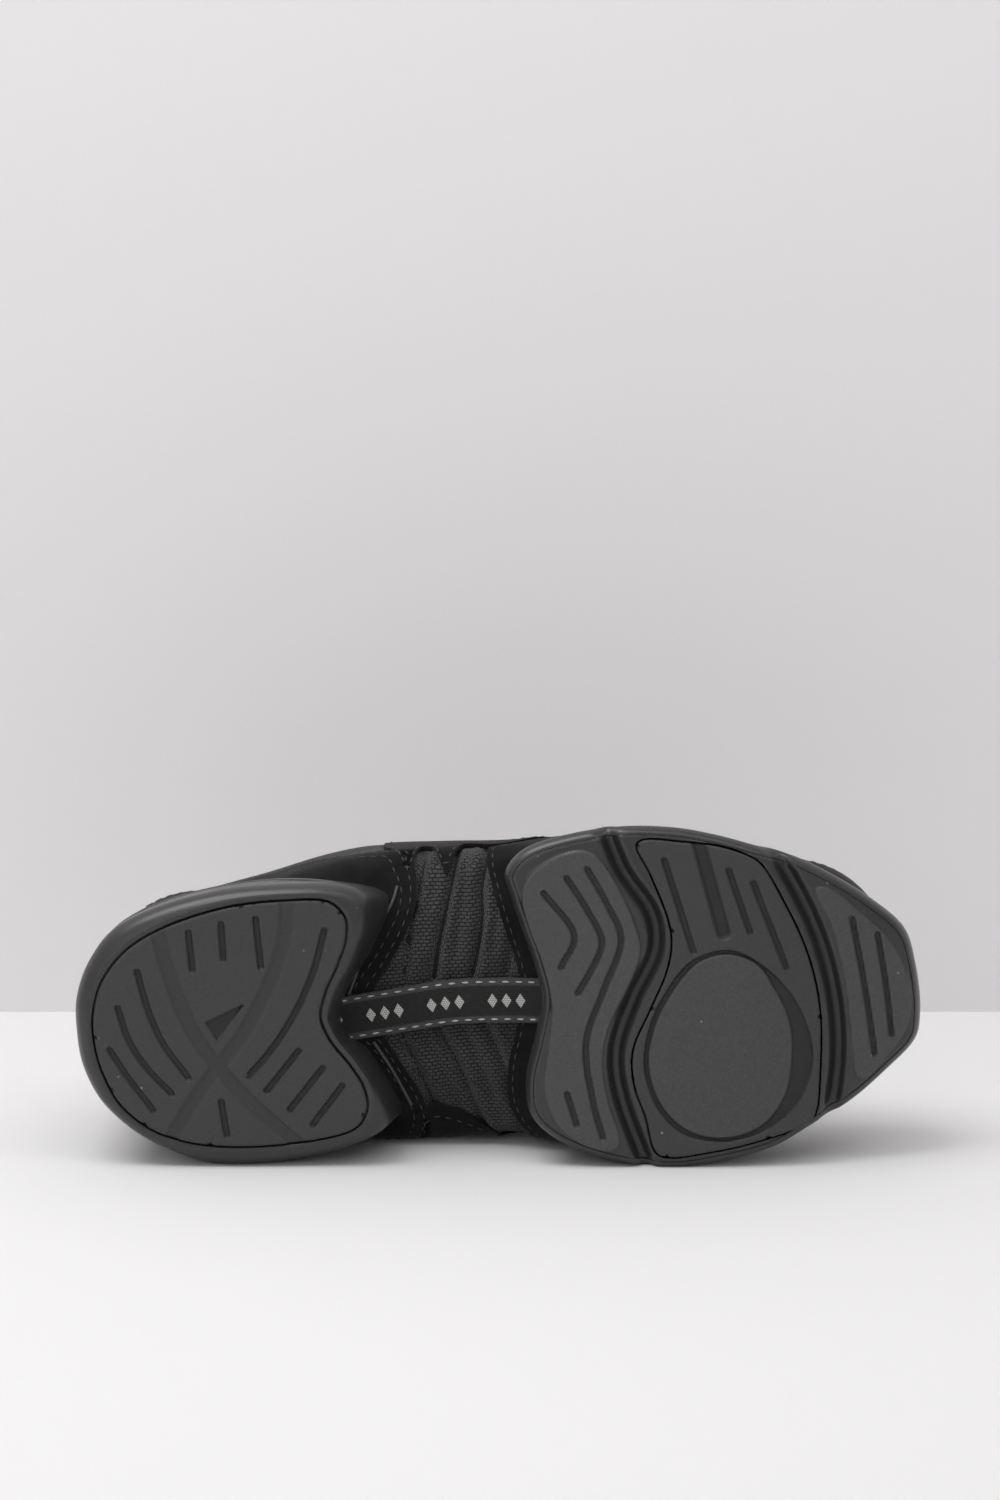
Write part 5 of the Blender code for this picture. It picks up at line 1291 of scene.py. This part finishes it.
sheet, faces = trimmed(last, last_faces, off_tongue)
inside = np.clip(-off_tongue(sheet) / TONGUE_EDGE, 0.0, 1.0)
full = 0.5 * TONGUE_THICKNESS * (0.25 + 0.75 * np.sqrt(1 - (1 - inside) ** 2))
middle = -GAP - TONGUE_THICKNESS / 2
seam = np.exp(-((np.abs(sheet[:, 1]) - 0.36 * TONGUE_WIDTH) / (1.0 * MM)) ** 2) * 0.5 * MM
tongue = shell("tongue_visual", sheet, faces, middle + full - seam, middle - full,
               [arch_knit, lining_cloth])
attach(tongue, "root")
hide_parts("tongue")


# Insole: a bed of soft foam faced with brushed cloth, lying loose in the shoe and cupped a
# little at its rim.

INSOLE_THICKNESS = 3.5 * MM
INSOLE_GRID = 2.0 * MM
INSOLE_CUP = 1.4 * MM

rows = [Station(*row) for row in smooth(STATIONS, 4, closed=False)]
bed_x = [rows[0].at - HEEL_REACH] + [row.at for row in rows] + [rows[-1].at + TOE_REACH]
bed_z = [rows[0].bottom] + [row.bottom for row in rows] + [rows[-1].bottom]


def bed_top(x):
    """Height of the insole's face at a distance from the heel."""
    return np.interp(x, bed_x, bed_z) + INSOLE_THICKNESS + toe_lift(x)


insole_line = []
for rib in ribs(rows):
    line = rib_profile(*rib)
    past = int(np.argmax(line[:, 2] > bed_top(line[:, 0])))
    insole_line.append(line[past, :2])
insole_line = grown(np.array(insole_line), -0.6 * MM)
places, faces = grid_over(insole_line, INSOLE_GRID)
places, faces = trimmed(places, faces, lambda p: from_outline(p, insole_line))
rim = np.clip(1 + from_outline(places, insole_line) / (8.0 * MM), 0.0, 1.0)
under = surface_at(-GAP)
places[:, 2] = bed_top(places[:, 0])
hits = [under.ray_cast(Vector(place), Vector((0.0, 0.0, -1.0)))[0] for place in places]
low = np.array([place[2] if hit is None else hit.z for place, hit in zip(places, hits)])
places[:, 2] += INSOLE_CUP * rim ** 2 - 0.4 * MM
low = np.minimum(low, places[:, 2] - 0.4 * MM)
sheet = np.hstack([places, np.tile((0.0, 0.0, 1.0), (len(places), 1))])
bed_cloth = knit("insole_cloth", "#101011", "#232324", 0.9, 0.9, 0.10 * MM, 0.9)
insole = shell("insole_visual", sheet, faces[:, ::-1], 0.0, low - places[:, 2], [bed_cloth])
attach(insole, "root")
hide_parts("insole")


# Lace: a braided polyester cord, laced criss-cross. Each run comes up through one eyelet,
# passes over the throat and goes down through the next one on the other side.

LACE_WIDTH = 3.6 * MM
LACE_THICKNESS = 2.4 * MM
LACE_IN_HOLE = 2.0 * MM
LACE_SIDES = 12
ABOVE_SHOE = 200.0 * MM

lace_bed = surface_at(OVERLAY_TOP)


def over_throat(x, y, lift):
    """A place over the throat, square to the upper's surface, and the direction outwards."""
    spot, out = cast(lace_bed, (x, y, ABOVE_SHOE), (0.0, 0.0, -1.0))
    return spot + out * lift, out


def flat_tube(line, ups, widths, thickness, sides):
    """Places, faces and cloth map of an oval tube along a line, its flat side to the ups."""
    along = np.gradient(line, axis=0)
    along /= np.linalg.norm(along, axis=1)[:, None]
    aside = np.cross(along, ups)
    aside /= np.linalg.norm(aside, axis=1)[:, None]
    up = np.cross(aside, along)
    around = [2 * math.pi * k / sides for k in range(sides)]
    rings, uv = [], []
    for spot, a, u, far, width in zip(line, aside, up, reached(line), widths):
        rings.append([spot + a * math.cos(by) * width / 2 + u * math.sin(by) * thickness / 2
                      for by in around])
        uv += [(far, k / sides * (LACE_WIDTH + thickness) * 1.6) for k in range(sides)]
    return *loft(rings), uv


pairs = eyelet_places()
beside = LACE_IN_HOLE / 2
runs = [((pairs[0][0] + beside, -pairs[0][1]), (pairs[0][0] + beside, pairs[0][1]), 0)]
for k, ((x0, half0), (x1, half1)) in enumerate(zip(pairs, pairs[1:])):
    runs.append(((x0 - beside, -half0), (x1 + beside, half1), k % 2))
    runs.append(((x0 - beside, half0), (x1 + beside, -half1), (k + 1) % 2))
rest = 0.5 * LACE_THICKNESS + 0.2 * MM
# One half of a run: share of its length, height over the suede, width, and how far it leans
HALF_RUN = (
    (0.000, -3.2 * MM, LACE_IN_HOLE, 1.0), (0.000, -1.4 * MM, LACE_IN_HOLE, 1.0),
    (0.018, 0.0, LACE_IN_HOLE, 0.8), (0.055, 1.0 * MM, 0.8 * LACE_WIDTH, 0.3),
    (0.130, rest, LACE_WIDTH, 0.0), (0.320, rest, LACE_WIDTH, 0.0), (0.420, rest, LACE_WIDTH, 0.0),
)
places, faces, uv = [], [], []
for start, end, top in runs:
    start, end = np.array(start), np.array(end)
    lean_to = np.append((end - start) / np.linalg.norm(end - start), 0.0)
    stops = [(share, high, width, -lean) for share, high, width, lean in HALF_RUN]
    stops += [(0.5, rest, LACE_WIDTH, 0.0)]
    stops += [(1 - share, high, width, lean) for share, high, width, lean in reversed(HALF_RUN)]
    rows_of = []
    for share, high, width, lean in stops:
        over = 1.05 * LACE_THICKNESS * max(0.0, 1 - abs(share - 0.5) / 0.2) if top else 0.0
        spot, out = over_throat(*(start + (end - start) * share), high + over)
        rows_of.append(np.concatenate([spot, out * (1 - 0.9 * abs(lean)) + lean * lean_to, [width]]))
    table = smooth(rows_of, 6, closed=False, over=3)
    more, sides_of, cloth = flat_tube(table[:, :3], table[:, 3:6], table[:, 6], LACE_THICKNESS, LACE_SIDES)
    faces += [tuple(index + len(places) for index in face) for face in sides_of]
    places += list(more)
    uv += cloth
lace_cord = knit("braided_polyester_cord", "#0a0a0b", "#2a2a2b", 1.1, 0.7, 0.16 * MM, 0.8)
laces = drawn("laces_visual", places, faces, [lace_cord], uv=uv)
outwards(laces)
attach(laces, "root")
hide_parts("laces")


# Seams: bonded polyester thread sewn in running stitches along the suede's edges and the
# tape's borders, and a thin cord of grey piping bound into the suede around the heel's wings.

STITCH_LENGTH = 2.3 * MM
STITCH_PITCH = 3.6 * MM
STITCH_THICKNESS = 0.42 * MM
PIPING_RADIUS = 0.5 * MM
BINDING_RADIUS = 0.62 * UPPER_WALL
TAPE_SEAM_SIDE = 0.42 * TAPE_WIDTH
TAPE_SEAM_START = 0.30 * SOLE_LENGTH
TAPE_SEAM_END = 0.56 * SOLE_LENGTH
PIPING_LINES = (
    ((0.388, -0.425), (0.381, -0.372), (0.352, -0.245), (0.322, -0.053)),
    ((0.348, 0.128), (0.368, 0.239), (0.388, 0.379)),
)


def new_tree(name, numbers):
    """A geometry tree with a geometry input, named number inputs and a geometry output."""
    tree = bpy.data.node_groups.new(name, "GeometryNodeTree")
    tree.interface.new_socket("Geometry", in_out="INPUT", socket_type="NodeSocketGeometry")
    tree.interface.new_socket("Geometry", in_out="OUTPUT", socket_type="NodeSocketGeometry")
    for label in numbers:
        tree.interface.new_socket(label, in_out="INPUT", socket_type="NodeSocketFloat")
    return tree, tree.nodes.new("NodeGroupInput"), tree.nodes.new("NodeGroupOutput")


def stitch_tree(thread):
    """Running stitches: short rounded threads at even steps along every line."""
    tree, given, made = new_tree("running_stitch", ("Length", "Pitch", "Thickness"))
    length, pitch, thick = (given.outputs[label] for label in ("Length", "Pitch", "Thickness"))
    line = add(tree, "GeometryNodeMeshToCurve", {"Mesh": given})
    steps = add(tree, "GeometryNodeResampleCurve", {"Curve": line, "Length": pitch}, mode="LENGTH")
    ball = add(tree, "GeometryNodeMeshUVSphere", {"Segments": 6, "Rings": 4, "Radius": 0.5})
    size = add(tree, "CombineXYZ", {"X": length, "Y": thick, "Z": thick})
    one = add(tree, "GeometryNodeTransform", {"Geometry": ball, "Scale": size})
    tangent = add(tree, "GeometryNodeInputTangent")
    way = add(tree, "FunctionNodeAlignRotationToVector", {"Vector": tangent}, axis="X")
    copies = add(tree, "GeometryNodeInstanceOnPoints", {"Points": steps, "Instance": one, "Rotation": way})
    real = add(tree, "GeometryNodeRealizeInstances", {"Geometry": copies})
    soft = add(tree, "GeometryNodeSetShadeSmooth", {"Geometry": real})
    dressed = add(tree, "GeometryNodeSetMaterial", {"Geometry": soft, "Material": thread})
    tree.links.new(dressed.outputs[0], made.inputs[0])
    return tree


def piping_tree(cord):
    """A round cord along every line."""
    tree, given, made = new_tree("piping", ("Radius",))
    line = add(tree, "GeometryNodeMeshToCurve", {"Mesh": given})
    ring = add(tree, "GeometryNodeCurvePrimitiveCircle", {"Resolution": 8, "Radius": given.outputs["Radius"]})
    swept = add(tree, "GeometryNodeCurveToMesh", {"Curve": line, "Profile Curve": ring, "Fill Caps": True})
    real = add(tree, "GeometryNodeRealizeInstances", {"Geometry": swept})
    dressed = add(tree, "GeometryNodeSetMaterial", {"Geometry": real, "Material": cord})
    tree.links.new(dressed.outputs[0], made.inputs[0])
    return tree


def sewn(name, places, edges, tree, values, slot):
    """A piece that a geometry tree makes along lines in the shoe's frame."""
    lines = bpy.data.meshes.new(name)
    lines.from_pydata([tuple(place) for place in places], [tuple(edge) for edge in edges], [])
    lines.transform(lie)
    piece = placed(name, lines)
    maker = piece.modifiers.new("maker", "NODES")
    maker.node_group = tree
    for item in tree.interface.items_tree:
        if item.in_out == "INPUT" and item.name in values:
            maker[item.identifier] = values[item.name]
    bpy.context.view_layer.update()
    mesh = bpy.data.meshes.new_from_object(piece.evaluated_get(bpy.context.evaluated_depsgraph_get()))
    piece.modifiers.clear()
    piece.data = mesh
    bpy.data.meshes.remove(lines)
    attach(piece, "root")


def contour(sheet, faces, measure, at, offset, keep=None):
    """The lines on a sheet where a measure has a value, as places off the sheet and edges."""
    value = measure(sheet) - at
    edges, which = np.unique(np.sort(edges_of(faces), axis=1), axis=0, return_inverse=True)
    which = which.reshape(3, -1).T
    crossing = value[edges[:, 0]] * value[edges[:, 1]] < 0
    one, two = edges[:, 0], edges[:, 1]
    share = value[one] / np.where(crossing, value[one] - value[two], 1.0)
    spots = sheet[one] + share[:, None] * (sheet[two] - sheet[one])
    places = spots[:, :3] + spots[:, 3:] * offset
    cut = crossing[which]
    lines = np.array([which[k][cut[k]] for k in np.nonzero(cut.sum(axis=1) == 2)[0]])
    if keep is not None:
        lines = lines[keep(places[lines[:, 0]]) & keep(places[lines[:, 1]])]
    used, compact = np.unique(lines, return_inverse=True)
    return places[used], compact.reshape(-1, 2)


def joined_lines(parts):
    """Places and edges of several lines as one set."""
    places, edges = [], []
    for some, pairs_of in parts:
        edges += [tuple(index + len(places) for index in pair) for pair in np.asarray(pairs_of)]
        places += list(some)
    return places, edges


def thread_of(name, colour, roughness):
    """Twisted polyester thread: a soft sheen, and ply marks too fine to show one by one."""
    made, tree, shader = finish_of(name, {"Roughness": roughness})
    where = add(tree, "TexCoord").outputs["Object"]
    ply = noise(tree, where, 1.0 / (0.6 * MM), 2.0)
    tree.links.new(mixed(tree, 0.4, colour, ply, "OVERLAY"), shader.inputs["Base Color"])
    bumped(tree, shader, ply, 0.05 * MM, strength=0.6)
    return made


black_thread = thread_of("black_sewing_thread", "#39393a", 0.6)
grey_thread = thread_of("grey_sewing_thread", "#a2a2a0", 0.6)
piping_cord = thread_of("grey_piping", "#3f3f40", 0.55)
suede_skin = OVERLAY_TOP + 0.1 * STITCH_THICKNESS
collar_skin = UPPER_WALL + 0.1 * STITCH_THICKNESS


def off_counter(p):
    """Measure of places: how far they are off the counter."""
    return np.maximum(over_counter(p), past_counter(p))


def off_guard(p):
    """Measure of places: how far they are off the toe guard."""
    return np.maximum(over_guard(p), past_guard(p))


def off_stay(p):
    """Measure of places: how far they are off the eyestay."""
    return np.maximum.reduce([-below_eyestay(p), over_collar(p), in_throat(p), past_eyestay(p)])


def counter_seen(p):
    """The counter's top and front edges, which the heel unit leaves in sight."""
    return (p[:, 2] > 0.36 * INSTEP_HEIGHT) | (p[:, 0] > 0.30 * SOLE_LENGTH)


def guard_seen(p):
    """The toe guard's top and back edges, which the forefoot unit leaves in sight."""
    return (p[:, 0] < 0.56 * SOLE_LENGTH) | (over_guard(p) > -4.0 * MM)


# Rows of stitches: whose edge they follow, how far inside it, how far off the last, and where
STITCH_ROWS = (
    (off_stay, 1.8 * MM, suede_skin, None),
    (off_stay, 4.4 * MM, suede_skin, lambda p: p[:, 0] > 0.50 * SOLE_LENGTH),
    (off_counter, 1.8 * MM, suede_skin, counter_seen),
    (off_counter, 4.6 * MM, suede_skin, counter_seen),
    (off_guard, 1.6 * MM, suede_skin, guard_seen),
    (over_collar, 4.0 * MM, collar_skin, lambda p: p[:, 0] < 0.365 * SOLE_LENGTH),
)
stitched = [contour(last, last_faces, measure, -inset, off, keep)
            for measure, inset, off, keep in STITCH_ROWS]
suede_sizes = {"Length": STITCH_LENGTH, "Pitch": STITCH_PITCH, "Thickness": STITCH_THICKNESS}
sewn("suede_seams", *joined_lines(stitched), stitch_tree(black_thread), suede_sizes, "suede")

borders = []
for side in (-TAPE_SEAM_SIDE, TAPE_SEAM_SIDE):
    line = []
    for (x, y), (dx, dy) in zip(centre, along):
        if TAPE_SEAM_START < x < TAPE_SEAM_END:
            spot, out = from_below(x - dy * side, y + dx * side)
            line.append(spot + out * (TAPE_THICKNESS + 0.12 * MM))
    borders.append((line, [(k, k + 1) for k in range(len(line) - 1)]))
tape_sizes = {"Length": 2.5 * MM, "Pitch": 3.9 * MM, "Thickness": 0.62 * MM}
sewn("tape_seams", *joined_lines(borders), stitch_tree(grey_thread), tape_sizes, "webbing")

bound = []
for line in PIPING_LINES:
    hits = [from_below(x, y) for x, y in curve(line, (SOLE_LENGTH, WAIST_WIDTH), 10)]
    bound.append(([spot - out * 0.3 * PIPING_RADIUS for spot, out in hits],
                  [(k, k + 1) for k in range(len(hits) - 1)]))
piping_sizes = {"Radius": PIPING_RADIUS}
sewn("counter_piping", *joined_lines(bound), piping_tree(piping_cord), piping_sizes, "suede")

rim = contour(last, last_faces, over_collar, 0.0, 0.5 * UPPER_WALL, lambda p: in_throat(p) < 0)
binding_cloth = thread_of("collar_binding_cloth", "#262627", 0.8)
sewn("collar_binding", *rim, piping_tree(binding_cloth), {"Radius": BINDING_RADIUS}, "lining")
